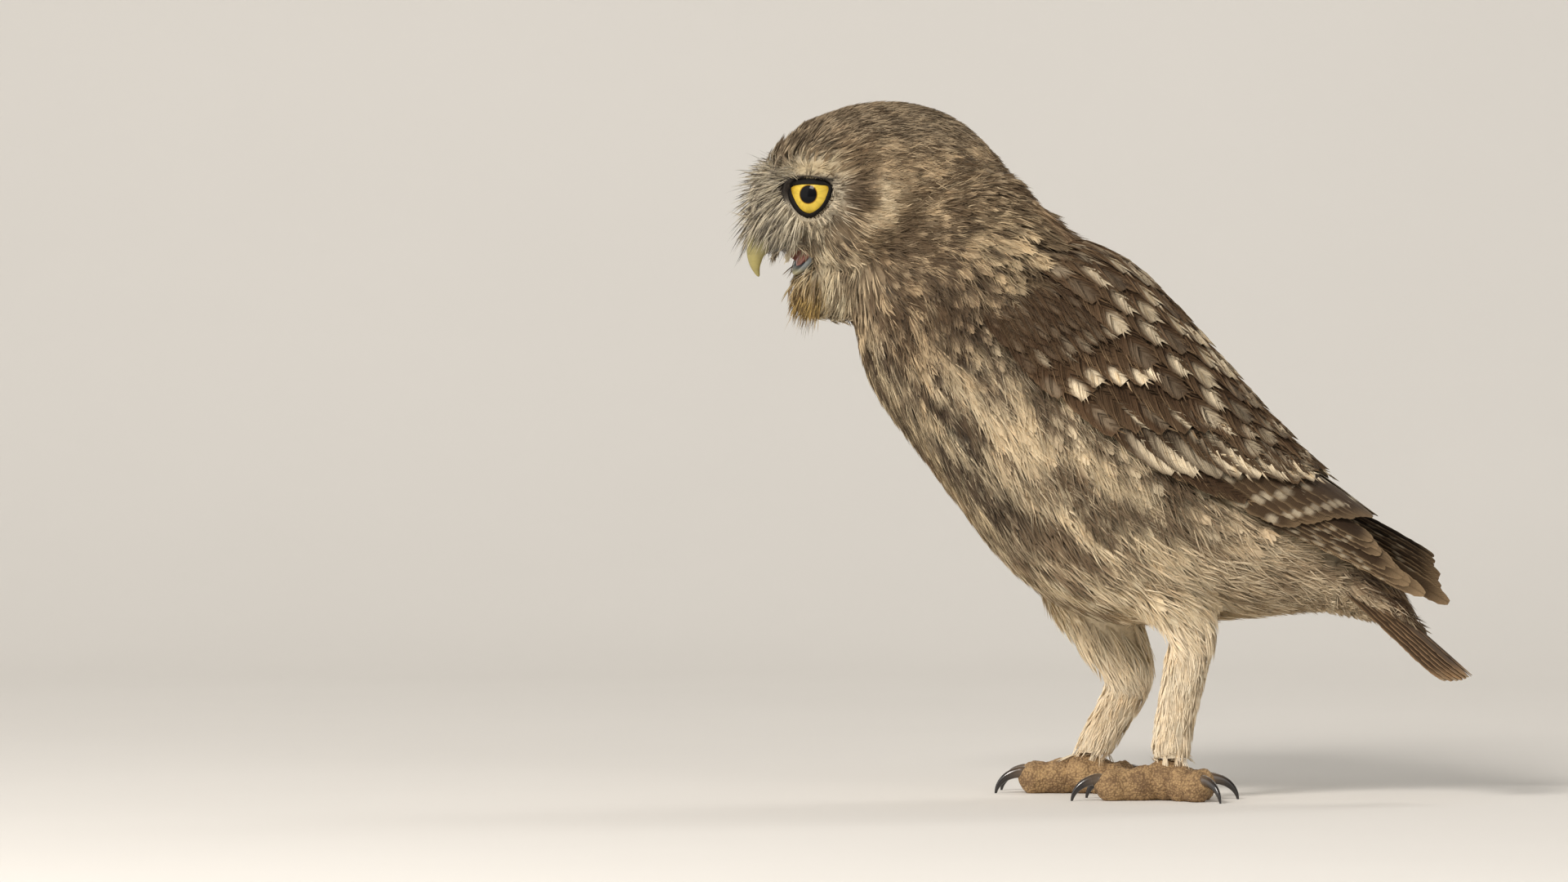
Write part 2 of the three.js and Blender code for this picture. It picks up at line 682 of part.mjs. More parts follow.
const head = headParts();
const flesh = toHead(head.flesh)
  .add(body.solid(24, 26))
  .subtract(toHead(headLoft(MOUTH, 12, 8)))
  .subtract(toHead(headLoft(UPPER_BILL, 12, 12, GAP)))
  .subtract(toHead(headLoft(LOWER_BILL, 12, 8, GAP)));
show("head", largest(ahead(flesh, NAPE_CUT)), "plumage");
show("neck", largest(ahead(behind(flesh, NAPE_CUT), SHOULDER_CUT)), "plumage");
show("torso", largest(behind(flesh, SHOULDER_CUT)), "plumage");
for (const name of ["left", "right"]) show("eye_" + name, toHead(head.eyes[name]), "eye");
show("bill_upper", largest(toHead(head.upperBill)), "bill");
show("bill_lower", largest(toHead(head.lowerBill)), "bill");
show("tongue", toHead(head.tongue), "mouth");
for (const [name, form] of Object.entries(WINGS)) show("wing_" + name, wing(form), "plumage");
show("tail", largest(tail()), "plumage");
for (const [name, leg] of Object.entries(LEGS)) {
  const { thigh, tarsus, foot, claws } = legParts(leg);
  show("thigh_" + name, thigh, "pale");
  show("tarsus_" + name, tarsus, "pale");
  show("foot_" + name, largest(foot), "toe");
  for (const [toeName, solid] of Object.entries(claws)) {
    show(`claw_${toeName}_${name}`, largest(solid), "claw");
  }
}

export default owl;
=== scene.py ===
"""A young little owl, life size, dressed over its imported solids.

It is laid out as an add-on that runs as a script: settings in property groups, an operator for
each group of pieces and one for the stage, and a panel that lists them. Lengths in the code are
millimetres in the frame that the solids share: the owl faces -X, its left side faces -Y and +Z is
up. They become metres where a mesh is written.
"""

import functools
import math

import bpy
import numpy as np
from bpy.props import FloatProperty, FloatVectorProperty, IntProperty, PointerProperty
from mathutils import Matrix, Vector
from mathutils.bvhtree import BVHTree
from mathutils.kdtree import KDTree


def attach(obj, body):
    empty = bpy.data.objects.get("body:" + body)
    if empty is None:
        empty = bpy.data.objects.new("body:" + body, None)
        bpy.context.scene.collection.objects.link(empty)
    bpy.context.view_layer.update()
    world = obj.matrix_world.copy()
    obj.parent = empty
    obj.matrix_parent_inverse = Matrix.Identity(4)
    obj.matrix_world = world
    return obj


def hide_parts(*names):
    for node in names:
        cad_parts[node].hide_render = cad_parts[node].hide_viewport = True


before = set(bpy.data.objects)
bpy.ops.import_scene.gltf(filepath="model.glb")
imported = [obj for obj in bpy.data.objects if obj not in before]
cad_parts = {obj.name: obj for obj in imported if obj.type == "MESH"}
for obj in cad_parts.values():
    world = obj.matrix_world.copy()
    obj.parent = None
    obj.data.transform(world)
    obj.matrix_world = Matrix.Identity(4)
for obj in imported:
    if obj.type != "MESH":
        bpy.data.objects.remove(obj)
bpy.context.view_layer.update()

bl_info = {
    "name": "Little owl",
    "version": (1, 0, 0),
    "blender": (4, 5, 0),
    "location": "3D View > Sidebar > Owl",
    "description": "Builds the plumage, eyes, bill and feet of a life-size little owl",
    "category": "Object",
}

MM = 0.001
MIDDLE = 15.0  # y of the middle plane of the body
ROOT_DEPTH = 0.4  # how far a feather starts under the skin

# The head: its middle, how far it is turned to the owl's left, and its axes ahead, left and up.
HEAD_AT = np.array([-80.5, MIDDLE, 164.4])
HEAD_TURN = 30.0
_turn = math.radians(180 + HEAD_TURN)
HEAD_AXES = np.array(
    [[math.cos(_turn), -math.sin(_turn), 0], [math.sin(_turn), math.cos(_turn), 0], [0, 0, 1]]
)
EYE_RADIUS = 8.2
EYE_FRONT = np.array([28.6, 17.0, 0.4])
EYE_TURN = math.radians(50)
PUPIL = 2.35
LID_POINTS = 96  # points on each ring of an eyelid

# Lofts: x, z, lean of the section in degrees, half depth, half width. Bill, tongue and mouth are
# given in the head's own axes, ahead and up from its middle.
BODY = [
    (-86, 166, 50, 0, 0),
    (-78, 158, 48, 24, 24),
    (-69, 149, 44, 29.5, 27),
    (-55.8, 131, 35, 34.5, 30.5),
    (-41, 116, 32, 37.5, 33.5),
    (-26, 98.2, 31, 38.6, 34.5),
    (-11, 80, 30, 38.4, 33),
    (5.5, 67, 33, 33.6, 28.5),
    (26.5, 61.8, 37, 21.6, 20),
    (43, 59, 41, 12.6, 13),
    (57, 52.6, 47, 6.6, 8),
    (66, 45.6, 49, 0, 0),
]
MANTLE = [
    (-57, 133, 35, 35, 31),
    (-42, 117, 32, 37.4, 33.6),
    (-26, 99, 31, 38.6, 34.6),
    (-9, 82.4, 31, 37.6, 33.2),
    (11, 70.6, 36, 31.6, 28),
    (31, 65.6, 42, 22.6, 20.4),
    (48, 61.4, 48, 15.4, 15),
    (62, 56.2, 52, 10.6, 11.4),
    (75, 50.2, 55, 7, 9),
]
UPPER_BILL = [
    (19, -11, 90, 0, 0),
    (23, -11.2, 90, 3.6, 8.6),
    (29, -10.6, 88, 4.9, 7.6),
    (34.4, -11.6, 70, 4.6, 5.2),
    (37.8, -15.2, 38, 3.1, 3.2),
    (38.2, -19.4, 8, 1.5, 1.5),
    (37.2, -22.4, -6, 0, 0),
]
LOWER_BILL = [
    (20.4, -11.4, 28, 0, 0),
    (21.6, -13.2, 22, 2.6, 7.6),
    (23.2, -16.2, 16, 2.7, 6.4),
    (25, -19.2, 16, 2.2, 4.2),
    (27, -21.9, 24, 0, 0),
]
TONGUE = [
    (21.8, -14.4, 20, 0, 0),
    (23.4, -15.6, 18, 1.2, 3.2),
    (24.8, -17.6, 18, 1, 2.8),
    (26, -19.6, 20, 0, 0),
]
MOUTH = [
    (19, -12.6, 70, 0, 0),
    (23, -13.6, 70, 1.2, 7.6),
    (29, -17.5, 50, 4.5, 7.6),
    (34, -22, 45, 7.5, 7),
    (42, -29, 45, 0, 0),
]

# The opening between the lids and the outer edge of their dark rim, seen along the eye, in mm
# from the pupil: towards the bill and up. Both lists go round from the corner by the bill.
LID_LINE = [
    (6.1, 2.1), (3, 2.6), (0, 2.7), (-3, 2.6), (-5.1, 2.3), (-5.1, 0.6), (-4.2, -1.9),
    (-2.5, -3.9), (0.1, -5.2), (2.2, -4.5), (3.5, -3.1), (4.7, -1.2), (5.9, 0.7),
]  # fmt: skip
RIM_LINE = [
    (9.3, 2.3), (6.5, 3.9), (3, 4.3), (0, 4.3), (-3, 4.1), (-6.3, 3.1), (-6.3, 0.8),
    (-5, -2.3), (-3.1, -4.5), (0, -6.3), (3.4, -5.9), (6, -3.4), (8, -0.2),
]  # fmt: skip

# Lines on the side of the head, in its own axes: the pale band that runs from behind the ear
# down to the throat, and the dark slit under the cheek.
PALE_BAND = [(8.4, 29.8, 3), (8.4, 29.8, -4), (13, 24, -10), (17, 16, -14.5), (20.9, 8.1, -24.8)]
DARK_SLIT = [(16.7, 19.9, -14.6), (16.1, 11.4, -23.6)]

# Legs: the foot's middle, and the line of the limb from the thigh to the foot as x and z. Toes:
# turn from straight ahead, outwards, in degrees, and length.
LEGS = {
    "left": {"foot": (0, 0), "line": [(-6, 72), (6.6, 43), (0, 4)]},
    "right": {"foot": (-28.5, 30), "line": [(-29, 72), (-14.8, 31.5), (-28.5, 4)]},
}
TOES = {"inner": (-14, 18), "middle": (22, 20.5), "outer": (138, 17), "hind": (-158, 13.5)}
TOE_RADIUS = 4.0
CLAW_ARC = 6.6  # radius of a claw's curve


def linear(red, green, blue):
    """A colour from its screen values, 0 to 255."""
    screen = np.array([red, green, blue]) / 255
    return np.where(screen < 0.04045, screen / 12.92, ((screen + 0.055) / 1.055) ** 2.4)


def smooth(low, high, value):
    """0 at low, 1 at high and a soft step between them. Low may be the larger."""
    t = np.clip((value - low) / (high - low), 0, 1)
    return t * t * (3 - 2 * t)


def blob(*distances):
    """1 at the middle and falling off round it, for distances given in widths."""
    return np.exp(-sum(np.square(d) for d in distances))


def mix(one, other, share):
    """One at share 0 and other at share 1."""
    return one + (other - one) * share


def unit(vectors):
    return vectors / np.maximum(np.linalg.norm(vectors, axis=-1, keepdims=True), 1e-9)


def noise(points, size, seed=0):
    """Smooth noise from 0 to 1 with lumps of a size in the points' own unit."""
    place = np.asarray(points, float) / size + 31.7 * (seed + 1)
    cell = np.floor(place).astype(np.int64)
    t = place - cell
    t = t * t * (3 - 2 * t)
    total = 0
    for corner in np.ndindex(2, 2, 2):
        at = cell + corner
        mixed = at[..., 0] * 73856093 ^ at[..., 1] * 19349663 ^ at[..., 2] * 83492791
        mixed = ((mixed ^ (mixed >> 13)) * 1274126177) & 0x7FFFFFFF
        weight = np.prod(np.where(corner, t, 1 - t), axis=-1)
        total = total + (mixed % 10007) / 10006 * weight
    return total


def between(values, share):
    """A smooth value between evenly spaced stations, at shares 0 to 1."""
    values = np.asarray(values, float)
    last = len(values) - 1
    place = np.clip(share, 0, 1) * last
    first = np.clip(np.floor(place).astype(int), 0, last - 1)
    t = place - first
    if values.ndim > 1:
        t = t[..., None]
    a, b, c, d = (values[np.clip(first + step, 0, last)] for step in (-1, 0, 1, 2))
    return b + 0.5 * t * (c - a + t * (2 * a - 5 * b + 4 * c - d + t * (3 * (b - c) + d - a)))


def head_place(points):
    """Points in the head's own axes: ahead, left and up from its middle."""
    return (points - HEAD_AT) @ HEAD_AXES


def from_head(points):
    """Points in the head's own axes, back in the shared frame."""
    return np.asarray(points, float) @ HEAD_AXES.T + HEAD_AT


class Loft:
    """A round body through stations."""

    def __init__(self, rows, y=0.0):
        self.x, self.z, self.lean, deep, wide = np.array(rows, float).T
        self.deep, self.wide, self.y = deep**2, wide**2, y

    def section(self, share):
        share = np.asarray(share, float)
        lean = np.radians(between(self.lean, share))
        middle = np.stack([between(self.x, share), 0 * share + self.y, between(self.z, share)], -1)
        up = np.stack([np.cos(lean), 0 * lean, np.sin(lean)], -1)
        deep, wide = (np.sqrt(np.maximum(between(v, share), 0)) for v in (self.deep, self.wide))
        return middle, up, deep, wide

    def point(self, share, angle, lift=0.0, side=-1):
        """A point of the surface: angle 90 is the back and -90 the belly, side -1 the left."""
        middle, up, deep, wide = self.section(share)
        turn = np.radians(angle)
        point = middle + up * ((deep + lift) * np.sin(turn))[..., None]
        point[..., 1] += side * (wide + lift) * np.cos(turn)
        return point

    def grid(self, around, along, lift=0.0, first=0.0, last=1.0):
        """Its closed surface as points, quads and places along and around it."""
        share, turn = np.meshgrid(
            np.linspace(first, last, along + 1), np.arange(around) / around, indexing="ij"
        )
        points = self.point(share, 360 * turn, lift).reshape(-1, 3)
        quads = grid_quads(along, around, True)
        return points, quads, np.stack([turn.ravel(), share.ravel()], -1)


def grid_quads(rows, columns, closed=False):
    """Quads of a grid of points, row by row. A closed grid joins its last column to its first."""
    width = columns if closed else columns + 1
    row, column = np.meshgrid(np.arange(rows), np.arange(columns), indexing="ij")
    row, column = row.ravel(), column.ravel()
    beside = (column + 1) % width
    here, above = row * width, (row + 1) * width
    return np.stack([here + column, here + beside, above + beside, above + column], -1)


def read(collection, key, width=3, kind=np.float32):
    """A property of a mesh's items, as an array with a row for each."""
    values = np.empty(len(collection) * width, kind)
    collection.foreach_get(key, values)
    return values.reshape(-1, width)


def write_tint(mesh, tint):
    """Gives a mesh its colours by point, in the layer that the materials read."""
    colour = np.concatenate([tint, np.ones((len(tint), 1))], 1).astype(np.float32)
    layer = mesh.color_attributes.new("tint", "FLOAT_COLOR", "POINT")
    layer.data.foreach_set("color", colour.ravel())


def make(name, points, faces, slot, material, uv=None, tint=None, **values):
    """A piece of the owl: points in mm, arrays of triangles or quads, uv and values by point."""
    mesh = bpy.data.meshes.new(name)
    sizes = np.concatenate([np.full(len(part), part.shape[1]) for part in faces])
    corners = np.concatenate([part.ravel() for part in faces]).astype(np.int32)
    mesh.vertices.add(len(points))
    mesh.vertices.foreach_set("co", (np.asarray(points) * MM).astype(np.float32).ravel())
    mesh.loops.add(len(corners))
    mesh.loops.foreach_set("vertex_index", corners)
    mesh.polygons.add(len(sizes))
    mesh.polygons.foreach_set("loop_start", (np.cumsum(sizes) - sizes).astype(np.int32))
    mesh.update(calc_edges=True)
    mesh.polygons.foreach_set("use_smooth", np.ones(len(sizes), bool))
    if uv is not None:
        layer = mesh.uv_layers.new(name="OFBake")
        layer.data.foreach_set("uv", uv[corners].astype(np.float32).ravel())
    if tint is not None:
        write_tint(mesh, tint)
    for key, value in values.items():
        layer = mesh.attributes.new(key, "FLOAT", "POINT")
        layer.data.foreach_set("value", np.asarray(value, np.float32))
    piece = bpy.data.objects.new(name, mesh)
    bpy.context.scene.collection.objects.link(piece)
    mesh.materials.append(material)
    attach(piece, "root")
    return piece


# Shader nodes


class Output:
    """A node's output that takes part in sums and products, of numbers and colours alike."""

    def __init__(self, sheet, socket):
        self.sheet, self.socket = sheet, socket

    def _combined(self, operation, other):
        pair = (self, other)
        flat = all(
            isinstance(v, (int, float)) or isinstance(v, Output) and v.socket.type == "VALUE"
            for v in pair
        )
        kind = "ShaderNodeMath" if flat else "ShaderNodeVectorMath"
        if not flat:
            pair = tuple((v, v, v) if isinstance(v, (int, float)) else v for v in pair)
        return self.sheet.node(kind, {"operation": operation}, {0: pair[0], 1: pair[1]})

    def __add__(self, other):
        return self._combined("ADD", other)

    def __mul__(self, other):
        return self._combined("MULTIPLY", other)

    __radd__ = __add__
    __rmul__ = __mul__

    def steps(self, low, high):
        """0 below low, 1 above high and smooth between them. Low may be the larger."""
        return self.sheet.node(
            "ShaderNodeMapRange",
            {"interpolation_type": "SMOOTHSTEP"},
            {"Value": self, "From Min": low, "From Max": high},
        )

    def blend(self, one, other):
        """The colour one where this is 0 and other where it is 1."""
        return self.sheet.node(
            "ShaderNodeMix",
            {"data_type": "RGBA", "clamp_factor": True},
            {0: self, 6: one, 7: other},
            2,
        )


class Sheet:
    """A material's node tree, written as expressions."""

    def __init__(self, name):
        self.material = bpy.data.materials.new(name)
        self.material.use_nodes = True
        self.tree = self.material.node_tree
        self.shader = self.tree.nodes["Principled BSDF"]

    def node(self, kind, settings=None, inputs=None, output=0):
        """Adds a node with its settings and inputs, and gives one of its outputs."""
        node = self.tree.nodes.new(kind)
        for key, value in (settings or {}).items():
            setattr(node, key, value)
        for key, value in (inputs or {}).items():
            self.put(node.inputs[key], value)
        return Output(self, node.outputs[output])

    def put(self, socket, value):
        """Feeds a socket from another node's output or a plain value."""
        if isinstance(value, Output):
            self.tree.links.new(value.socket, socket)
        elif socket.type == "RGBA" and len(value) == 3:
            socket.default_value = (*value, 1)
        else:
            socket.default_value = value

    def attribute(self, name, colour=False):
        return self.node("ShaderNodeAttribute", {"attribute_name": name}, output=0 if colour else 2)

    def place(self, stretch=(1, 1, 1)):
        """The place on the piece in metres, stretched."""
        return self.node("ShaderNodeTexCoord", output=3) * stretch

    def noise(self, scale, detail=2.0, stretch=(1, 1, 1), roughness=0.5):
        inputs = {"Vector": self.place(stretch), "Scale": scale, "Detail": detail}
        return self.node("ShaderNodeTexNoise", None, {**inputs, "Roughness": roughness})

    def bump(self, height, distance, strength=1.0):
        return self.node(
            "ShaderNodeBump", None, {"Height": height, "Distance": distance, "Strength": strength}
        )

    def surface(self, **inputs):
        """Sets the shader's inputs, named with _ for each blank, and gives the material."""
        for key, value in inputs.items():
            self.put(self.shader.inputs[key.replace("_", " ")], value)
        return self.material


def material(maker):
    """Each material is made once, when it is first asked for."""
    return functools.cache(lambda: maker(Sheet(maker.__name__)))


@material
def soft_plumage(sheet):
    """Soft barbs: the markings, and on most feathers painted shade towards the root, are in the tint,
    and fine grain breaks them up.
    """
    grain = sheet.noise(1600.0, 3.0)
    colour = sheet.attribute("tint", True) * (0.8 + 0.4 * grain)
    return sheet.surface(
        Base_Color=colour, Roughness=0.62 + 0.3 * grain, Specular_IOR_Level=0.25, Sheen_Weight=0.1,
        Sheen_Roughness=0.5,
    )  # fmt: skip


@material
def vane_plumage(sheet):
    """Firm vanes of the wings and tail: a little smoother than the body's feathers."""
    grain = sheet.noise(1800.0, 2.0)
    barbs = sheet.node("ShaderNodeMath", {"operation": "SINE"}, {0: sheet.attribute("line") * 9500.0})
    colour = sheet.attribute("tint", True) * (0.8 + 0.4 * grain + 0.06 * barbs)
    return sheet.surface(
        Base_Color=colour, Roughness=0.62 + 0.25 * grain, Specular_IOR_Level=0.1, Sheen_Weight=0.03,
        Normal=sheet.bump(barbs, 0.00003),
    )  # fmt: skip


@material
def under_skin(sheet):
    """The skin and down under the feathers, in their colours but darker: painted shade deep in the coat.
    """
    grain = sheet.noise(900.0, 4.0)
    return sheet.surface(
        Base_Color=sheet.attribute("tint", True) * (0.55 + 0.5 * grain),
        Roughness=0.8 + 0.15 * grain,
        Normal=sheet.bump(grain, 0.0004),
    )


@material
def eye_surface(sheet):
    """A black pupil in a yellow iris with fine rays, under a wet cornea."""
    out = sheet.attribute("out")
    polar = {0: sheet.attribute("round") * 30.0, 1: out * 0.35}
    inputs = {"Vector": sheet.node("ShaderNodeCombineXYZ", None, polar), "Scale": 1.0, "Detail": 3.0}
    ray = sheet.node("ShaderNodeTexNoise", {"noise_dimensions": "2D"}, inputs)
    colours = bpy.context.scene.owl_colours
    iris = out.steps(3.0, 6.6).blend(colours.iris, colours.iris_edge) * (0.55 + 0.4 * ray)
    ringed = out.steps(PUPIL + 0.35, PUPIL + 0.1).blend(iris, tuple(linear(140, 100, 20)))
    bounded = out.steps(6.3, 6.8).blend(ringed, (0.01, 0.009, 0.008))
    colour = out.steps(PUPIL + 0.12, PUPIL - 0.08).blend(bounded, (0.003, 0.003, 0.004))
    return sheet.surface(
        Base_Color=colour, Roughness=0.4, Specular_IOR_Level=0.03, Coat_Weight=0.3,
        Coat_Roughness=0.015, Coat_IOR=1.38,
    )  # fmt: skip


@material
def lid_skin(sheet):
    """Matt, slightly rough skin of the eyelids."""
    grain = sheet.noise(1500.0, 3.0)
    return sheet.surface(
        Base_Color=sheet.attribute("tint", True) * (0.8 + 0.4 * grain),
        Roughness=0.6 + 0.25 * grain,
        Specular_IOR_Level=0.15,
        Normal=sheet.bump(grain, 0.0002),
    )


@material
def horn(sheet):
    """Bill: satin horn with fine lengthwise growth lines."""
    line = sheet.noise(260.0, 4.0, (1, 1, 5))
    return sheet.surface(
        Base_Color=sheet.attribute("tint", True) * (0.75 + 0.5 * line),
        Roughness=0.3 + 0.25 * line,
        Normal=sheet.bump(line, 0.0001),
        Coat_Weight=0.2,
    )


@material
def mouth_lining(sheet):
    """Moist flesh with soft folds."""
    fold = sheet.noise(420.0, 4.0)
    return sheet.surface(
        Base_Color=sheet.attribute("tint", True) * (0.7 + 0.6 * fold),
        Roughness=0.25 + 0.2 * fold,
        Normal=sheet.bump(fold, 0.0004),
        Coat_Weight=0.5,
        Coat_Roughness=0.1,
    )


@material
def toe_skin(sheet):
    """Granular skin, ochre, darker in its hollows and in broad blotches."""
    cells = sheet.node(
        "ShaderNodeTexVoronoi", None, {"Vector": sheet.place(), "Scale": 1500.0, "Randomness": 0.9}
    )
    grain = sheet.noise(2600.0, 3.0)
    blotches = sheet.noise(240.0, 4.0)
    bright = tuple(linear(184, 152, 108))
    colour = (blotches * 0.8 + cells * 0.5).steps(0.35, 0.9).blend(bright, tuple(linear(116, 90, 62)))
    return sheet.surface(
        Base_Color=colour * (0.75 + 0.5 * grain),
        Roughness=0.75 + 0.2 * grain,
        Normal=sheet.bump(cells * -1.0 + grain * 0.4, 0.00035),
    )


@material
def claw_horn(sheet):
    """Polished horn that darkens towards the tip."""
    line = sheet.noise(300.0, 3.0, (1, 1, 0.3))
    along = sheet.attribute("along")
    colours = bpy.context.scene.owl_colours
    colour = along.steps(0.0, 0.6).blend(colours.claw, colours.claw_tip)
    return sheet.surface(
        Base_Color=colour * (0.7 + 0.6 * line), Roughness=0.16 + 0.2 * line, Coat_Weight=0.4
    )


@material
def studio_floor(sheet):
    """Pale paper, seen through from its back, so that it hides the owl from no side."""
    mottle = sheet.noise(6.0, 3.0)
    sheet.surface(Base_Color=mottle.blend((0.78, 0.76, 0.72), (0.82, 0.8, 0.76)), Roughness=0.9)
    paper = Output(sheet, sheet.shader.outputs[0])
    clear = sheet.node("ShaderNodeBsdfTransparent")
    behind = sheet.node("ShaderNodeNewGeometry", output=6)
    mixed = sheet.node("ShaderNodeMixShader", None, {0: behind, 1: paper, 2: clear})
    sheet.put(sheet.tree.nodes["Material Output"].inputs["Surface"], mixed)
    return sheet.material


# The owl's surface


class Surface:
    """A mesh piece as arrays in mm, for scattering roots on it and laying feathers along it."""

    def __init__(self, piece):
        mesh = piece.data
        mesh.calc_loop_triangles()
        self.points = read(mesh.vertices, "co").astype(float) / MM
        self.normals = read(mesh.vertex_normals, "vector").astype(float)
        self.corners = read(mesh.loop_triangles, "vertices", kind=np.int32)
        self.loops = read(mesh.loop_triangles, "loops", kind=np.int32)
        self.uv = read(mesh.uv_layers["OFBake"].data, "uv", 2)
        self.tree = BVHTree.FromPolygons(self.points.tolist(), self.corners.tolist())

    def scatter(self, spacing, seed):
        """Roots at about the distance from each other that spacing(points) gives, none where it
        is not above 0. Returns their points, normals and places on the unwrap."""
        rng = np.random.default_rng(seed)
        tries = 2.4  # points drawn for each one that fits
        shapes = self.points[self.corners]
        area = np.linalg.norm(
            np.cross(shapes[:, 1] - shapes[:, 0], shapes[:, 2] - shapes[:, 0]), axis=1
        )
        wanted = spacing(shapes.mean(1))
        weight = np.where(wanted > 0, area / np.maximum(wanted, 0.1) ** 2, 0)
        count = int(weight.sum() * tries)
        pick = rng.choice(len(weight), count, p=weight / weight.sum())
        a, b = rng.random((2, count))
        a = np.sqrt(a)
        shares = np.stack([1 - a, a * (1 - b), a * b], -1)[..., None]
        points = (self.points[self.corners[pick]] * shares).sum(1)
        normals = unit((self.normals[self.corners[pick]] * shares).sum(1))
        uv = (self.uv[self.loops[pick]] * shares).sum(1)
        reach = spacing(points)
        tree = KDTree(count)
        for index, point in enumerate(points):
            tree.insert(point, index)
        tree.balance()
        free = reach > 0
        kept = []
        for index in range(count):
            if free[index]:
                kept.append(index)
                for _, other, _ in tree.find_range(points[index], reach[index]):
                    free[other] = False
        return points[kept], normals[kept], uv[kept]

    def lay(self, points, normals, aims, lengths, lifts, steps=4):
        """Spines that run over the surface from roots along aims, rising to lifts at the tips. Past
        an edge of the surface, where it lies too far from the next step, they hang free."""
        aims = unit(aims - normals * (aims * normals).sum(-1, keepdims=True))
        spine, out = [points - normals * ROOT_DEPTH], [normals]
        here, face = points.copy(), normals.copy()
        for step in range(1, steps):
            share = step / (steps - 1)
            ahead = here + aims * (lengths / (steps - 1))[:, None]
            moved, turned = np.empty_like(here), np.empty_like(face)
            for index, target in enumerate(ahead):
                place, normal, _, away = self.tree.find_nearest(target)
                free = float(smooth(0.3, 0.8, away * (steps - 1) / lengths[index]))
                moved[index] = mix(np.array(place), target, free)
                turned[index] = mix(np.array(normal), face[index], free)
            turned = unit(turned + 0.6 * face)
            aims = unit(moved - here)
            aims = unit(aims - turned * (aims * turned).sum(-1, keepdims=True))
            here, face = moved, turned
            spine.append(here + face * (lifts * (1 - (1 - share) ** 1.8))[:, None])
            out.append(face)
        return np.stack(spine, 1), np.stack(out, 1)


class Feather:
    """The form of one feather: u runs from root to tip, v across it and h off its surface, with
    v and h in half widths, b is a chance value of each barb and e is how near the edge a point
    lies. A web, given as rows, columns and how much of the width it fills, carries barbs of a few
    joints that leave the shaft and end along the edge. stretch is the length over the half width,
    loose is how far the barbs stray and bare the share of the shaft without them."""

    def __init__(
        self, seed, stretch, web=(3, 2, 0.5), barbs=18, joints=2, loose=0.5, blunt=2.1, base=0.6,
        bare=0.15, slant=2.8,
    ):  # fmt: skip
        rng = self._start(seed, stretch, loose, blunt, base)
        rows, columns, reach = web
        t = np.linspace(0, 1, rows + 1)
        t = mix(t, 1 - (1 - t) ** 2, 0.5) * (0.995 if reach > 0.9 else 0.9)
        u, v = np.meshgrid(t, np.linspace(-reach, reach, columns + 1), indexing="ij")
        ragged = 1 + 0.04 * rng.normal(size=u.shape) * (np.abs(v) > 0.97 * reach)
        if reach < 0.8:
            ragged = ragged * np.where(u == t[-1], 0.2, 1)
        dip = -0.03 - 0.03 * np.abs(v)
        self._add(u, v * self.rim(u) * ragged, dip, 0.5 + 0 * u, grid_quads(rows, columns))
        for side in (-1, 1):
            for place in (np.arange(barbs) + 0.5) / max(barbs, 1):
                end = mix(bare + 0.05, 1.0, place**0.8) + rng.normal(0, 0.01 + 0.03 * loose)
                wide = side * self.rim(min(end, 0.985)) * (1 + loose * rng.normal(0, 0.3))
                start = np.clip(end - slant * abs(wide) / stretch - 0.04, 0.02, 0.93)
                self._barb(rng, start, end, wide, joints, 0.75 / barbs)
        self._finish()

    def _start(self, seed, stretch, loose, blunt=2.6, base=0.6):
        self.parts, self.faces, self.count = [], [], 0
        self.stretch, self.loose, self.blunt, self.base = stretch, loose, blunt, base
        return np.random.default_rng(seed)

    def _add(self, u, v, h, b, faces):
        self.parts.append(np.stack([np.ravel(x) for x in (u, v, h, b)], -1))
        triangles = faces if faces.shape[1] == 3 else faces[:, [0, 1, 2, 0, 2, 3]].reshape(-1, 3)
        self.faces.append(triangles + self.count)
        self.count += len(self.parts[-1])

    def _barb(self, rng, start, end, wide, joints, width):
        """Adds a barb that leaves the shaft at start and ends at end, wide off it."""
        along = np.arange(joints + 1) / joints
        u = mix(start, end, along**1.1)
        v = wide * along**0.75
        du, dv = np.gradient(u), np.gradient(v) / self.stretch
        size = np.hypot(du, dv)
        half = width * (1 - 0.3 * along) * (0.8 + 0.4 * rng.random())
        half[-1] = 0
        off_u, off_v = -dv / size * half / self.stretch, du / size * half
        rise = 0.02 + 0.04 * rng.random() + self.loose * 0.25 * rng.random() * along**2
        lean = 0.05 * rng.choice([-1, 1]) * (0.5 + rng.random())
        points = [
            np.stack([u + s * off_u, v + s * off_v, rise + s * lean * (half > 0)], -1) for s in (-1, 1)
        ]
        paired = np.stack(points, 1).reshape(-1, 3)[:-1]
        first = 2 * np.arange(joints)[:, None]
        early, last = first[:-1], first[-1:]
        faces = np.concatenate([early + [0, 2, 3], early + [0, 3, 1], last + [0, 2, 1]])
        self._add(paired[:, 0], paired[:, 1], paired[:, 2], np.full(len(paired), rng.random()), faces)

    def rim(self, u):
        """Half the width at u, as a share of the greatest."""
        u = np.clip(u, 0, 1)
        return np.sqrt(1 - np.abs(2 * u - 1) ** self.blunt) * mix(self.base, 1, np.minimum(2 * u, 1))

    def _finish(self):
        self.u, self.v, self.h, self.b = np.concatenate(self.parts).T
        self.e = np.clip(np.abs(self.v) / np.maximum(self.rim(self.u), 0.05), 0, 1.3)
        self.faces = np.concatenate(self.faces)


class Hairs(Feather):
    """A few separate hair-like barbs from one root. width is half of one's, in half widths."""

    def __init__(self, seed, strands, joints, stretch, spread=0.6, width=0.06, loose=0.6):
        rng = self._start(seed, stretch, loose)
        for _ in range(strands):
            end, wide = 0.8 + 0.3 * rng.random(), spread * rng.normal()
            self._barb(rng, 0.12 * rng.random(), end, wide, joints, width)
        self._finish()


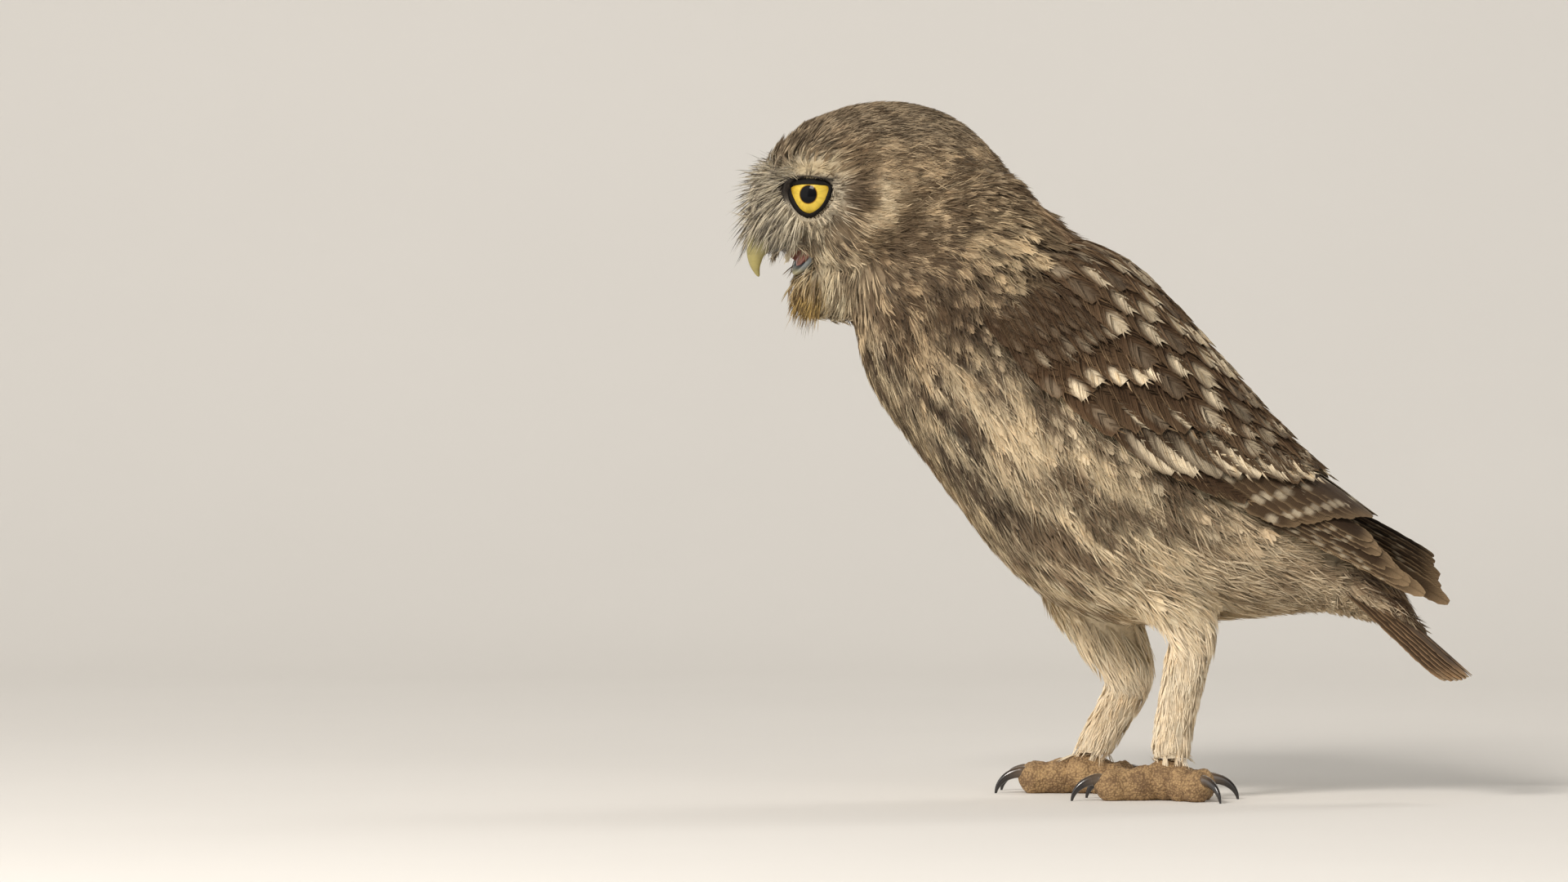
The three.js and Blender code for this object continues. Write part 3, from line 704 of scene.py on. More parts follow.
def hair_kinds(first, count=8, **form):
    """Kinds of hairs of one form that differ by chance, seeded from first on."""
    return [Hairs(first + number, **form) for number in range(count)]


class Coat:
    """Feathers gathered into one mesh."""

    def __init__(self):
        self.points, self.faces, self.tints, self.uv, self.lines = ([] for _ in range(5))
        self.count = 0

    def lay(self, kinds, spine, out, half, uv, paint, camber=0.1, slope=0.0, flip=1, patch=0.003):
        """Lays a feather along each spine, in turn from the kinds, half wide to each side. paint(which,
        u, v, b, e) gives the colours. flip -1 mirrors them, slope tips one edge up, and patch is the
        size of a feather on the unwrap."""
        steps = spine.shape[1] - 1
        lengths = np.linalg.norm(np.diff(spine, axis=1), axis=2).sum(1)
        for turn, kind in enumerate(kinds):
            which = np.arange(turn, len(spine), len(kinds))
            if not len(which):
                continue
            place = kind.u * steps
            first = np.clip(np.floor(place).astype(int), 0, steps - 1)
            t = (place - first)[None, :, None]
            line, normal = spine[which], out[which]
            at = mix(line[:, first], line[:, first + 1], t)
            up = unit(mix(normal[:, first], normal[:, first + 1], np.clip(t, 0, 1)))
            tangent = np.gradient(line, axis=1)
            ahead = unit(mix(tangent[:, first], tangent[:, first + 1], np.clip(t, 0, 1)))
            across = np.cross(up, ahead) * flip
            wide = half[which][:, None, None]
            off = (kind.h - camber * kind.v**2 - slope * kind.v)[None, :, None]
            points = at + across * wide * kind.v[None, :, None] + up * wide * off
            number = len(kind.u)
            starts = self.count + number * np.arange(len(which))[:, None, None]
            self.points.append(points.reshape(-1, 3))
            self.faces.append((kind.faces[None, :, ::flip] + starts).reshape(-1, 3))
            colour = paint(which[:, None], kind.u[None], kind.v[None], kind.b[None], kind.e[None])
            self.tints.append(np.clip(colour, 0.002, 1).reshape(-1, 3))
            along = kind.u * lengths[which][:, None] - 1.2 * np.abs(kind.v) * half[which][:, None]
            self.lines.append(along.ravel() * MM)
            place = np.stack([0.5 + 0.4 * kind.v, np.clip(kind.u, 0, 1.1)], -1)
            self.uv.append((uv[which][:, None] + patch * place[None]).reshape(-1, 2))
            self.count += number * len(which)

    def make(self, name, slot, finish):
        """Makes one piece of all the feathers laid so far."""
        points, faces, tints, uv, lines = (
            np.concatenate(x) for x in (self.points, self.faces, self.tints, self.uv, self.lines)
        )
        return make(name, points, [faces], slot, finish, np.clip(uv, 0, 1), tints, line=lines)


# Where things are on the owl

body = Loft(BODY, MIDDLE)
mantle = Loft(MANTLE, MIDDLE)


def body_place(points):
    """Share along the body from inside the head to the tail, the angle round it, 90 on the back
    and -90 on the belly, and the direction of the body's line there."""
    shares = np.linspace(0, 1, 161)
    middle, up, _, _ = body.section(shares)
    line = unit(np.gradient(middle, axis=0))
    away = points[:, None, [0, 2]] - middle[None, :, [0, 2]]
    past = away[..., 0] * up[None, :, 2] - away[..., 1] * up[None, :, 0]
    best = np.argmin(past**2 + 0.04 * (away**2).sum(-1), axis=1)
    high = (away[np.arange(len(points)), best] * up[best][:, [0, 2]]).sum(-1)
    angle = np.degrees(np.arctan2(high, np.abs(points[:, 1] - MIDDLE)))
    return shares[best], angle, line[best]


def leg_place(points):
    """Distance from the nearer leg's line, its direction, and how far down the leg, 1 to 2 on
    the tarsus."""
    best = np.full(len(points), 1e9)
    aim, down = np.zeros_like(points), np.zeros(len(points))
    for leg in LEGS.values():
        line = np.array([(x, leg["foot"][1], z) for x, z in leg["line"]], float)
        for number, (start, end) in enumerate(zip(line[:-1], line[1:])):
            along = np.clip(((points - start) @ (end - start)) / ((end - start) ** 2).sum(), 0, 1)
            away = np.linalg.norm(points - start - along[:, None] * (end - start), axis=1)
            nearer = away < best
            best = np.where(nearer, away, best)
            aim = np.where(nearer[:, None], unit(end - start), aim)
            down = np.where(nearer, number + along, down)
    return best, aim, down


def eye_axes(side):
    """Middle of an eye and its axes towards the bill, up and outwards, in the head's own axes."""
    aim = unit(np.array([math.cos(EYE_TURN), side * math.sin(EYE_TURN), 0.04]))
    up = unit(np.array([0, 0, 1]) - aim * aim[2])
    bill = np.cross(up, aim) * -side
    front = EYE_FRONT * [1, side, 1]
    return front - aim * (EYE_RADIUS - 0.4), np.stack([bill, up, aim])


def folded(head):
    """Places on the head with its right side laid over the left."""
    return np.stack([head[:, 0], np.abs(head[:, 1]), head[:, 2]], -1)


def at_eye(head):
    """Places seen along the nearer eye: towards the bill, up and outwards from its middle."""
    middle, axes = eye_axes(1)
    return (folded(head) - middle) @ axes.T


# What each tract of small feathers is like: pale and dark colour; how much of it is dark, how
# strong the dark is and how strong the dark line along the shaft; how fine the mottling is, how
# much single barbs stray from it and how strong a pale spot near the tip is; and in mm the
# length, half width, lift of the tips and spacing of the roots.
COLUMNS = ("cover", "strength", "core", "grain", "hairy", "spot", "length", "half", "lift", "spacing")
TRACTS = {
    "breast": (210, 194, 162, 68, 54, 41, 0.58, 0.97, 0.4, 0.45, 0.4, 0.45, 13, 3.0, 2.3, 3.0),
    "neck": (192, 171, 137, 82, 65, 48, 0.84, 0.92, 0.1, 0.4, 0.35, 0.55, 11, 3.0, 2.1, 2.8),
    "nape": (206, 186, 150, 90, 75, 56, 0.6, 0.92, 0.0, 0.35, 0.3, 0.9, 11, 3.3, 2.0, 2.9),
    "belly": (218, 203, 172, 122, 101, 78, 0.36, 0.85, 0.1, 0.25, 0.35, 0.8, 14, 4.2, 2.6, 3.5),
    "flank": (220, 204, 172, 96, 78, 58, 0.48, 0.92, 0.0, 0.2, 0.3, 0.8, 14, 4.2, 2.6, 3.4),
    "vent": (214, 198, 168, 140, 122, 98, 0.34, 0.75, 0.1, 0.35, 0.5, 0.0, 14, 3.6, 2.8, 3.2),
    "front": (196, 178, 144, 70, 56, 43, 0.52, 0.95, 0.7, 0.8, 0.9, 0.0, 13, 2.2, 2.6, 2.4),
    "back": (160, 136, 106, 82, 65, 49, 0.66, 0.95, 0.2, 0.4, 0.3, 0.5, 12, 3.6, 2.4, 3.1),
    "crown": (164, 147, 120, 77, 65, 50, 0.54, 0.9, 0.2, 0.85, 0.35, 0.0, 6.5, 1.7, 1.2, 1.7),
    "hind": (198, 177, 143, 84, 68, 50, 0.58, 0.9, 0.1, 0.6, 0.35, 0.5, 8, 2.2, 1.5, 2.1),
    "temple": (196, 176, 142, 118, 98, 74, 0.45, 0.8, 0.0, 0.7, 0.4, 0.0, 7, 1.7, 1.3, 1.7),
    "brow": (212, 196, 160, 150, 130, 100, 0.2, 0.8, 0.0, 0.7, 0.4, 0.0, 5.5, 1.4, 1.2, 1.4),
    "face": (218, 207, 182, 100, 88, 70, 0.34, 0.85, 0.0, 0.9, 0.9, 0.0, 5.5, 1.3, 1.1, 1.05),
    "cheek": (214, 202, 174, 74, 63, 49, 0.42, 0.92, 0.0, 0.9, 1.3, 0.0, 6.5, 1.3, 1.5, 1.1),
    "lores": (212, 203, 182, 88, 80, 68, 0.36, 0.85, 0.0, 0.9, 1.2, 0.0, 8, 1.2, 2.0, 1.1),
    "ear": (138, 118, 92, 74, 61, 46, 0.64, 0.9, 0.0, 0.6, 0.45, 0.0, 6.5, 1.5, 1.4, 1.4),
    "rim": (236, 221, 188, 176, 154, 118, 0.1, 0.7, 0.0, 0.5, 0.5, 0.0, 7.5, 1.8, 1.8, 1.7),
    "throat": (216, 204, 174, 120, 104, 82, 0.3, 0.8, 0.0, 0.7, 1.1, 0.0, 9, 1.6, 2.2, 1.5),
    "slit": (120, 100, 76, 40, 32, 26, 0.75, 1.0, 0.0, 0.5, 0.6, 0.0, 7, 1.5, 1.2, 1.4),
    "chin": (180, 156, 108, 96, 76, 50, 0.5, 0.85, 0.0, 0.8, 1.2, 0.0, 8, 1.3, 2.0, 1.2),
    "lash": (60, 51, 42, 26, 22, 19, 0.6, 0.9, 0.0, 0.5, 0.6, 0.0, 3.2, 1.0, 0.5, 0.8),
    "trousers": (232, 217, 186, 200, 180, 144, 0.28, 0.5, 0.0, 0.4, 0.7, 0.0, 10, 2.2, 2.0, 1.9),
    "leg": (238, 225, 198, 222, 204, 170, 0.15, 0.4, 0.0, 0.5, 0.7, 0.0, 6, 1.5, 1.1, 1.4),
}
PALE_WARMTH = (1, 0.98, 0.97)
DARK_WARMTH = (1.02, 0.95, 0.86)
TRACT_ROWS = {
    name: np.concatenate([linear(*row[:3]) * PALE_WARMTH, linear(*row[3:6]) * DARK_WARMTH, row[6:]])
    for name, row in TRACTS.items()
}

# Patches of the body's side: share along it, angle, how far each spreads in both, and how much
# darker it is, or paler below 0.
PATCHES = [
    (0.3, -19, 0.03, 6, -0.5), (0.335, -21, 0.03, 5, -0.5), (0.37, -21, 0.03, 5, -0.75),
    (0.41, -17, 0.03, 5, -0.8), (0.45, -11, 0.03, 6, -0.9), (0.49, 1, 0.03, 6, -0.6),
    (0.38, -4, 0.025, 6, 0.6), (0.42, 4, 0.025, 6, 0.75), (0.46, 12, 0.03, 5, 0.45),
    (0.415, -29, 0.02, 5, -0.15), (0.44, -53, 0.04, 6, 0.4), (0.48, -45, 0.03, 6, 0.5),
    (0.52, -39, 0.03, 6, 0.6), (0.56, -33, 0.025, 7, 0.6), (0.585, -30, 0.015, 9, 0.4),
    (0.44, -26, 0.014, 4, -0.5), (0.475, -27, 0.02, 4, -0.6), (0.51, -14, 0.025, 5, -0.5),
    (0.53, -29, 0.014, 4, -0.4), (0.545, -10, 0.02, 5, -0.4), (0.26, -10, 0.016, 5, -0.5),
    (0.3, -1, 0.018, 5, -0.6), (0.29, 13, 0.01, 5, -0.5), (0.32, 19, 0.012, 4, -0.6),
    (0.23, 6, 0.016, 5, -0.4), (0.35, 28, 0.03, 12, 0.3), (0.45, -62, 0.05, 3, -0.5),
    (0.66, -20, 0.05, 28, -0.2), (0.76, -22, 0.035, 18, 0.25), (0.58, 2, 0.02, 8, 0.2),
    (0.21, 24, 0.016, 6, -0.6), (0.245, 40, 0.014, 7, -0.6), (0.26, 57, 0.014, 7, -0.5),
]  # fmt: skip

# The angle of the wing's front and lower edge at shares 0.3 to 0.85.
WING_EDGE = (22, 8, 14, 30, 32, 28, 14, 12)


def column(name):
    """Where a value stands in a tract row, after its two colours."""
    return 6 + COLUMNS.index(name)


def wing_edge(share):
    """The angle of the wing's front and lower edge at each share along the body."""
    return between(WING_EDGE, (share - 0.3) / 0.55)


def near_line(points, line, reach):
    """1 on a broken line and falling off over reach round it. Both are (ahead, side, up)."""
    line = np.array(line, float)
    best = np.full(len(points), 1e9)
    for start, end in zip(line[:-1], line[1:]):
        along = np.clip(((points - start) @ (end - start)) / ((end - start) ** 2).sum(), 0, 1)
        away = np.linalg.norm(points - start - along[:, None] * (end - start), axis=1)
        best = np.minimum(best, away)
    return np.exp(-np.square(best / reach))


def past_neck(points):
    """How far each point lies ahead of the plane between neck and head."""
    return -0.682 * (points[:, 0] + 67.3) + 0.731 * (points[:, 2] - 148.5)


def on_head(points, behind=-9.0, ahead=1.0):
    """0 behind the plane between neck and head and 1 ahead of it, over a soft step."""
    return smooth(behind, ahead, past_neck(points))


def flow(points):
    """Places in which the mottling is laid out, drawn out along the body."""
    share, angle, _ = body_place(points)
    along = np.stack([share * 70, angle * 0.6, np.sign(points[:, 1] - MIDDLE) * 40], -1)
    return np.where(on_head(points)[:, None] > 0.5, head_place(points), along)


def tract(points):
    """The blended tract row at each point. The breast's is laid everywhere first, and each put()
    blends another over it: by share and angle on the body, and on the head by places in its own
    axes and round the eye."""
    share, angle, _ = body_place(points)
    head = head_place(points)
    beside = folded(head)
    ahead, side, up = beside.T
    eye = at_eye(head)
    from_eye = np.hypot(eye[:, 0], eye[:, 1])
    reach = outline_reach(eye, RIM_LINE)
    leg, _, down = leg_place(points)
    skull = on_head(points)
    row = np.repeat(TRACT_ROWS["breast"][None], len(points), 0)

    def put(name, weight):
        row[:] = mix(row, TRACT_ROWS[name][None], np.clip(weight, 0, 1)[:, None])

    put("front", smooth(-52, -66, angle) * smooth(0.6, 0.54, share))
    put("belly", smooth(0.48, 0.58, share))
    put("flank", smooth(-40, -25, angle) * smooth(0.33, 0.4, share) * smooth(0.66, 0.58, share))
    put("vent", smooth(0.62, 0.7, share))
    for name in ("length", "lift"):
        row[:, column(name)] *= 1 - mix(0.6, 0.75, smooth(20, -10, angle)) * smooth(0.7, 0.85, share)
    put("neck", smooth(0.36, 0.28, share) * smooth(-58, -34, angle))
    put("nape", smooth(0.36, 0.3, share) * smooth(18, 34, angle))
    put("back", smooth(66, 80, angle) * smooth(0.16, 0.26, share))
    rust = smooth(-64, -76, angle) * blob((share - 0.48) / 0.07) * (noise(points, 5.0, 21) > 0.5)
    row[:, 3:6] = mix(row[:, 3:6], linear(140, 92, 52), 0.7 * rust[:, None])
    for place, turn, long, wide, change in PATCHES:
        change = change * (0.8 if change > 0 else 0.75)
        row[:, column("cover")] += change * blob((share - place) / long, (angle - turn) / wide)
    edge = wing_edge(share)
    over = smooth(edge - 12, edge - 2, angle) * smooth(80, 60, angle) * smooth(0.16, 0.24, share)
    row[:, column("lift")] += 2.0 * over * smooth(0.7, 0.6, share)
    row[:, column("cover")] += 0.3 * over * smooth(0.42, 0.48, share) * smooth(0.58, 0.52, share)
    shoulder = smooth(0.1, 0.18, share) * smooth(0.34, 0.27, share) * smooth(-12, 5, angle)
    row[:, column("lift")] += 3.4 * shoulder * smooth(80, 60, angle)
    put("back", smooth(0.78, 0.88, share) * smooth(-5, 20, angle))
    put("hind", skull)
    put("crown", skull * np.maximum(smooth(10, 17, up), smooth(15, 20, ahead) * smooth(6, 10, up)))
    put("temple", skull * blob((ahead - 13) / 8, (up - 11) / 4.5) * smooth(12, 18, side))
    put("ear", skull * blob((ahead - 15.3) / 6.8, (up - 1) / 11) * smooth(13, 19, side) * 1.2)
    # painted shade: the side of the neck under the head is given more dark, for the shade the head casts
    # there
    shade_under_head = blob((ahead + 3) / 8, (up + 14) / 8) + blob((ahead - 8) / 5, (up + 12) / 5)
    row[:, column("cover")] += 0.45 * skull * shade_under_head * smooth(10, 16, side)
    put("rim", skull * near_line(beside, PALE_BAND, 2.7) * (0.5 + 0.6 * blob((up + 1) / 5)) * 1.1)
    near = smooth(-2, 1, eye[:, 2])
    put("face", skull * near * smooth(13, 10.5, np.hypot(eye[:, 0] - 1.5, eye[:, 1] - 0.5)))
    below = smooth(-2, -6, eye[:, 1]) * smooth(-6, -1, eye[:, 0])
    put("cheek", skull * near * below * smooth(-17, -13, up) * smooth(17, 14, from_eye))
    put("throat", skull * smooth(-15.5, -19, up) * smooth(10, 16, ahead))
    put("brow", skull * near * blob((eye[:, 0] + 0.5) / 9, (eye[:, 1] - 7.2) / 2.4) * 1.3)
    put("lores", skull * smooth(29, 32, ahead) * smooth(15, 11, side) * smooth(9, 5, up))
    put("slit", skull * near_line(beside, DARK_SLIT, 1.5) * 1.3)
    put("chin", skull * smooth(19, 21, ahead) * smooth(-22, -25, up) * smooth(9, 6, side))
    put("lash", skull * near * smooth(1.32, 1.12, reach) * smooth(-1, 2, eye[:, 1] + 0.35 * eye[:, 0]))
    rim = skull * near * smooth(1.7, 1.1, reach)
    for name, value in (("length", 3.4), ("lift", 0.4), ("spacing", 0.72), ("half", 0.9)):
        row[:, column(name)] = mix(row[:, column(name)], value, rim)
    row[:, column("lift")] += 2.4 * skull * blob((ahead - 31) / 7, (up - 8.5) / 5.5)
    hind = blob((past_neck(points) - 4) / 7) * smooth(-8, 4, up) * smooth(8, -4, ahead)
    row[:, column("lift")] += 3.4 * hind
    hem = smooth(20, 11, points[:, 2]) * smooth(14, 11, leg)
    row[:, column("length")] += 3.5 * hem * (0.3 + 1.2 * noise(points, 1.5, 9))
    row[:, column("lift")] += 1.4 * hem
    put("trousers", smooth(17, 12, leg) * smooth(60, 52, points[:, 2]))
    put("leg", smooth(13, 10, leg) * smooth(0.75, 1.0, down) * smooth(52, 44, points[:, 2]))
    return row


def lie(points, normals):
    """The direction in which small feathers lie: along the body, away from the bill over the head,
    outwards round the eyes and down the legs."""
    share, angle, line = body_place(points)
    head = head_place(points)
    eye = at_eye(head)
    near = np.where(head[:, 1] < 0, -1, 1)
    nil = 0 * head[:, 0]
    leg, down_leg, _ = leg_place(points)
    skull = on_head(points, -16, 2)
    aim = line + np.array([0, 0, -0.25]) * smooth(40, 0, angle)[:, None]
    hang = 0.6 * smooth(0.42, 0.3, share) * smooth(-20, -45, angle)
    aim = mix(aim, np.array([0.1, 0, -1]), hang[:, None])
    aim = mix(aim, np.array([0.8, 0, -0.6]), smooth(0.8, 0.9, share)[:, None])
    back = unit((head - np.array([34, 0, -4])) * [1, 1, 0.8]) @ HEAD_AXES.T
    aim = mix(aim, back, skull[:, None])

    def turn(direction, weight):
        aim[:] = mix(unit(aim), unit(direction) @ HEAD_AXES.T, np.clip(weight, 0, 1)[:, None])

    _, axes = eye_axes(1)
    radial = np.stack([eye[:, 0] - 1.0, eye[:, 1] - 0.4, nil], -1) @ axes
    radial[:, 1] *= near
    high = np.where(eye[:, 1] > 0, 1.7, 1.0)
    disc = smooth(18, 13, np.hypot(eye[:, 0], high * eye[:, 1])) * smooth(-3, 1, eye[:, 2])
    turn(radial, skull * disc)
    low = smooth(-13, -18, head[:, 2]) * smooth(6, 14, head[:, 0])
    turn(np.stack([nil + 0.3, 0.1 * near, nil - 1], -1), skull * low)
    fore = np.stack([nil + 0.9, 0.35 * near * np.abs(head[:, 1]) / 8, nil - 0.8], -1)
    lores = smooth(28, 33, head[:, 0]) * smooth(14, 9, np.abs(head[:, 1])) * smooth(9, 3, head[:, 2])
    turn(fore, skull * 0.75 * lores * (head[:, 2] > -20))
    on_leg = smooth(16, 11, leg) * smooth(62, 50, points[:, 2])
    aim = mix(aim, down_leg + [0.12, 0, 0], on_leg[:, None])
    return unit(aim - normals * (aim * normals).sum(-1, keepdims=True))


def covered(points):
    """Where no small feathers grow: under the folded wings, on the eyes, in the mouth and on the
    soles' level."""
    share, angle, _ = body_place(points)
    wing = (share > 0.42) & (share < 0.8) & (angle > wing_edge(share) + 13) & (angle < 80)
    head = head_place(points)
    eye = at_eye(head)
    blind = (outline_reach(eye, RIM_LINE) < 0.95) & (eye[:, 2] > 1)
    mouth = (head[:, 0] > 19.5) & (np.abs(head[:, 1]) < 9.5)
    mouth &= (head[:, 2] > -30) & (head[:, 2] < -12)
    axis = -13.2 - (head[:, 0] - 22) * 0.72
    inside = mouth & (np.abs(head[:, 2] - axis) < 1.6 + 0.5 * (head[:, 0] - 22))
    low = points[:, 2] < 6
    return wing | blind | inside | low


def outline_reach(eye, outline):
    """How far out a place is from the pupil, 1 on the outline."""
    ring = closed_line(outline)
    angles = np.arctan2(ring[:, 1], ring[:, 0])
    order = np.argsort(angles)
    reach = np.interp(
        np.arctan2(eye[:, 1], eye[:, 0]), angles[order], np.hypot(*ring[order].T), period=2 * np.pi
    )
    return np.hypot(eye[:, 0], eye[:, 1]) / reach


def closed_line(points, count=LID_POINTS):
    """A closed smooth line through points, as count points."""
    ring = np.array(points, float)
    wrapped = np.concatenate([ring[-2:], ring, ring[:3]])
    share = (2 + len(ring) * np.arange(count) / count) / (len(wrapped) - 1)
    return between(wrapped, share)


def painter(start, end, places, seed):
    """paint() for small feathers, from the tract rows at their roots and tips and the places of
    the mottling at their roots."""
    rng = np.random.default_rng(seed)
    tone = rng.normal(1, 0.05, len(start))
    warm = rng.normal(0, 0.015, len(start))
    spotted = rng.random(len(start)) > 0.3

    def paint(which, u, v, b, e):
        row = mix(start[which], end[which], np.clip(u, 0, 1)[..., None])
        cover, strength, core, grain, hairy, spot, length, half = np.moveaxis(row[..., 6:14], -1, 0)
        shift = np.stack([0.2 * length * u, 0.5 * half * v, 0 * length], -1)
        lumps = [noise(places[which] + shift, size, 4) for size in (3.6, 1.5)]
        lump = 0.5 + 1.9 * (mix(*lumps, grain) - 0.5)
        level = lump - 0.8 * (cover - 0.5) + 0.4 * hairy * (b - 0.5)
        dark = smooth(0.64, 0.36, level)
        dark = np.maximum(dark, core * smooth(0.5, 0.12, np.abs(v)) * smooth(0.15, 0.5, u))
        dark = dark * (1 - spot * spotted[which] * blob((u - 0.76) / 0.16, v / 0.62))
        colour = mix(row[..., :3], row[..., 3:6], (strength * dark)[..., None])
        # painted shade: each feather is darker towards its root, where the feathers over it cover it;
        # tone and b are its own chance differences
        shade = tone[which] * (0.9 + 0.2 * b) * (0.8 + 0.2 * smooth(0, 0.45, u))
        return colour * shade[..., None] * (1 + warm[which][..., None] * [1, 0, -1])

    return paint


# Wings and tail

DARK = linear(66, 49, 34)
BROWN = linear(93, 71, 51)
GREY = linear(112, 93, 70)
SPOT = linear(216, 203, 176)
BUFF = linear(200, 170, 130)
RUST = linear(186, 132, 80)


def stepped(first, last, count):
    """Places stepped evenly from the first share and angle to the last."""
    return mix(np.array(first, float), np.array(last, float), np.linspace(0, 1, count)[:, None])


def tier(kind, tips, roots, half, lift, dip, ground=BROWN, edge=0.2, spots=()):
    """A tier of folded feathers. tips are shares and angles, and so are roots, or else roots is
    the step from each tip back to its root; half is the half width and dip sinks the roots. Each
    spot is how strong it is, how far along, how far out across, half its length and half its
    width."""
    tips = np.array(tips, float)
    roots = np.array(roots, float)
    if roots.ndim == 1:
        roots = tips + roots
    return {
        "kind": kind, "places": np.concatenate([roots, tips], 1), "half": half, "lift": lift,
        "dip": dip, "ground": ground, "edge": edge, "spots": spots,
    }  # fmt: skip


def wing_tiers(primaries):
    """The tiers of a wing, lowest first."""
    sides = (-1, 1)
    bars = [(0.6, 0.4 + 0.2 * k, side * 0.7, 0.035, 0.28) for k in range(3) for side in sides]
    notches = [(0.5, 0.36 + 0.13 * k, side * 0.85, 0.022, 0.22) for k in range(4) for side in sides]
    rows = [
        tier("flight", primaries, stepped((0.42, 34), (0.42, 52), len(primaries)),
             3.0, 1.0, 0.2, DARK * 0.6, 0.4, notches),
        tier("flight", stepped((0.6, 36), (0.7, 78), 9), stepped((0.3, 36), (0.3, 76), 9),
             4.4, 2.0, 0.8, DARK * 0.8, 0.25, bars),
        tier("covert", stepped((0.5, 31), (0.36, 21), 4), (-0.17, -3), 2.6, 2.7, 1.2, DARK, 0.6),
        tier("covert", stepped((0.4, 25), (0.54, 70), 8), (-0.19, -5), 5.2, 3.2, 1.6, DARK, 0.15,
             [(3.0, 0.74, 0.05, 0.25, 0.6), (0.7, 0.36, 0.1, 0.1, 0.5)]),
        tier("covert", stepped((0.295, 20), (0.38, 54), 6), (-0.15, -3),
             4.6, 3.8, 2.2, mix(DARK, BROWN, 0.5), 0.35, [(1.1, 0.78, 0.25, 0.16, 0.4)]),
        tier("covert", stepped((0.215, 14), (0.26, 46), 6), (-0.13, -1),
             4.6, 4.3, 2.6, mix(DARK, BROWN, 0.7), 0.4, [(1.05, 0.8, -0.2, 0.13, 0.38)]),
    ]  # fmt: skip
    for number, tip in enumerate((0.165, 0.135, 0.11, 0.085, 0.06, 0.035, 0.01)):
        tips = stepped((tip, 10 + number % 2 * 2), (tip + 0.015, 42), 9)
        spots = [(0.5, 0.7, 0.2, 0.16, 0.45)] if number < 1 else [(0.15, 0.7, 0.0, 0.2, 0.3)]
        rows.append(
            tier("soft", tips, (-0.09, 0), 2.9, 4.6 - 0.08 * number**2, 2.6,
                 mix(DARK, BROWN, 0.15), 0.1, spots)
        )  # fmt: skip
    for tip, lift, strength, long in (
        (0.5, 3.4, 0.55, 0.1), (0.42, 3.8, 0.65, 0.12), (0.35, 4.1, 0.9, 0.15), (0.285, 4.5, 1.0, 0.18),
        (0.225, 4.8, 1.0, 0.19), (0.17, 5.0, 0.9, 0.18), (0.115, 5.1, 0.9, 0.17), (0.06, 5.0, 0.4, 0.11),
    ):  # fmt: skip
        low = 48 + 60 * max(tip - 0.3, 0)
        tips = stepped((tip, low), (tip + 0.01, 92), 6) + np.array([[0.012, 0], [-0.014, 1]] * 3)
        rows.append(
            tier("covert", tips, (-0.13, 1), 5.0, lift, 2.8, mix(DARK, BROWN, 0.5), 0.15,
                 [(strength, 0.77, 0.0, long, 0.55)])
        )  # fmt: skip
    return rows


# The tips of the primaries, outermost first, as shares and angles of the mantle. The right wing
# is folded more loosely, so that its tips stand off and fan out behind the left one.
WINGS = {
    "left": {"side": -1, "tips": stepped((0.92, 20), (0.74, 50), 8), "stand": 0.0},
    "right": {"side": 1, "tips": stepped((0.955, 6), (0.87, 50), 8), "stand": 4.5},
}


def vane_paint(looks, ground, edge, spots, tip=BUFF):
    """paint() for vanes. looks holds a tone and a shift of the spots for each feather."""

    def paint(which, u, v, b, e):
        tone, shift = looks[which, 0], looks[which, 1]
        ragged = 0.3 * (b - 0.5)
        pale = 0 * u * tone
        for strength, place, out, long, wide in spots:
            away = np.hypot((u - place - 0.025 * shift) / long, (v - out - 0.12 * shift) / wide)
            away = away + ragged
            shown = np.clip(strength * (1.0 + 0.8 * shift), 0.15 * strength, min(strength, 1))
            pale = np.maximum(pale, shown * smooth(1.3, 0.6, away))
        fringe = edge * smooth(0.86, 1.0, np.maximum(e, 1.02 * u - 0.02)) * smooth(0.2, 0.5, u)
        greyer = 0.12 + 0.12 * np.clip(shift, -1, 1) + 0.15 * e * (e < 1)
        colour = mix(ground, GREY, greyer[..., None])
        colour = mix(colour, tip, (fringe * (1 - pale))[..., None])
        # painted light: on the tiers with the strongest spots the spots are 1.35 times brighter than the
        # same spots elsewhere, against the shade on these tilted tiers
        bright = 1.35 if spots and spots[0][0] > 1 else 1.0
        colour = mix(colour, mix(BUFF, SPOT, 0.85) * bright, pale[..., None])
        shaft = 0.4 * smooth(0.1, 0.03, np.abs(v)) * (1 - 0.6 * pale)
        colour = mix(colour, DARK, shaft[..., None])
        # painted shade: each vane is darker towards its root, where the tier over it covers it; tone and
        # b are its own chance differences
        return colour * (tone * (0.88 + 0.24 * b) * (0.62 + 0.38 * smooth(0.1, 0.6, u)))[..., None]

    return paint


# The first seed and the form of each kind of wing and tail feather.
VANES = {
    "flight": (100, {"web": (44, 10, 1.0), "barbs": 0, "loose": 0.05, "blunt": 6.0, "base": 0.8}),
    "soft": (120, {"web": (4, 4, 0.55), "barbs": 14, "loose": 0.6}),
    "covert": (
        110,
        {"web": (16, 8, 0.85), "loose": 0.3, "blunt": 2.6, "base": 0.7, "bare": 0.2, "slant": 1.5},
    ),
}


def vane_kinds(kind, stretch, count=4):
    """Flight feathers are all web, and the others have soft barbs round a web."""
    first, form = VANES[kind]
    return [Feather(first + number, stretch, **form) for number in range(count)]


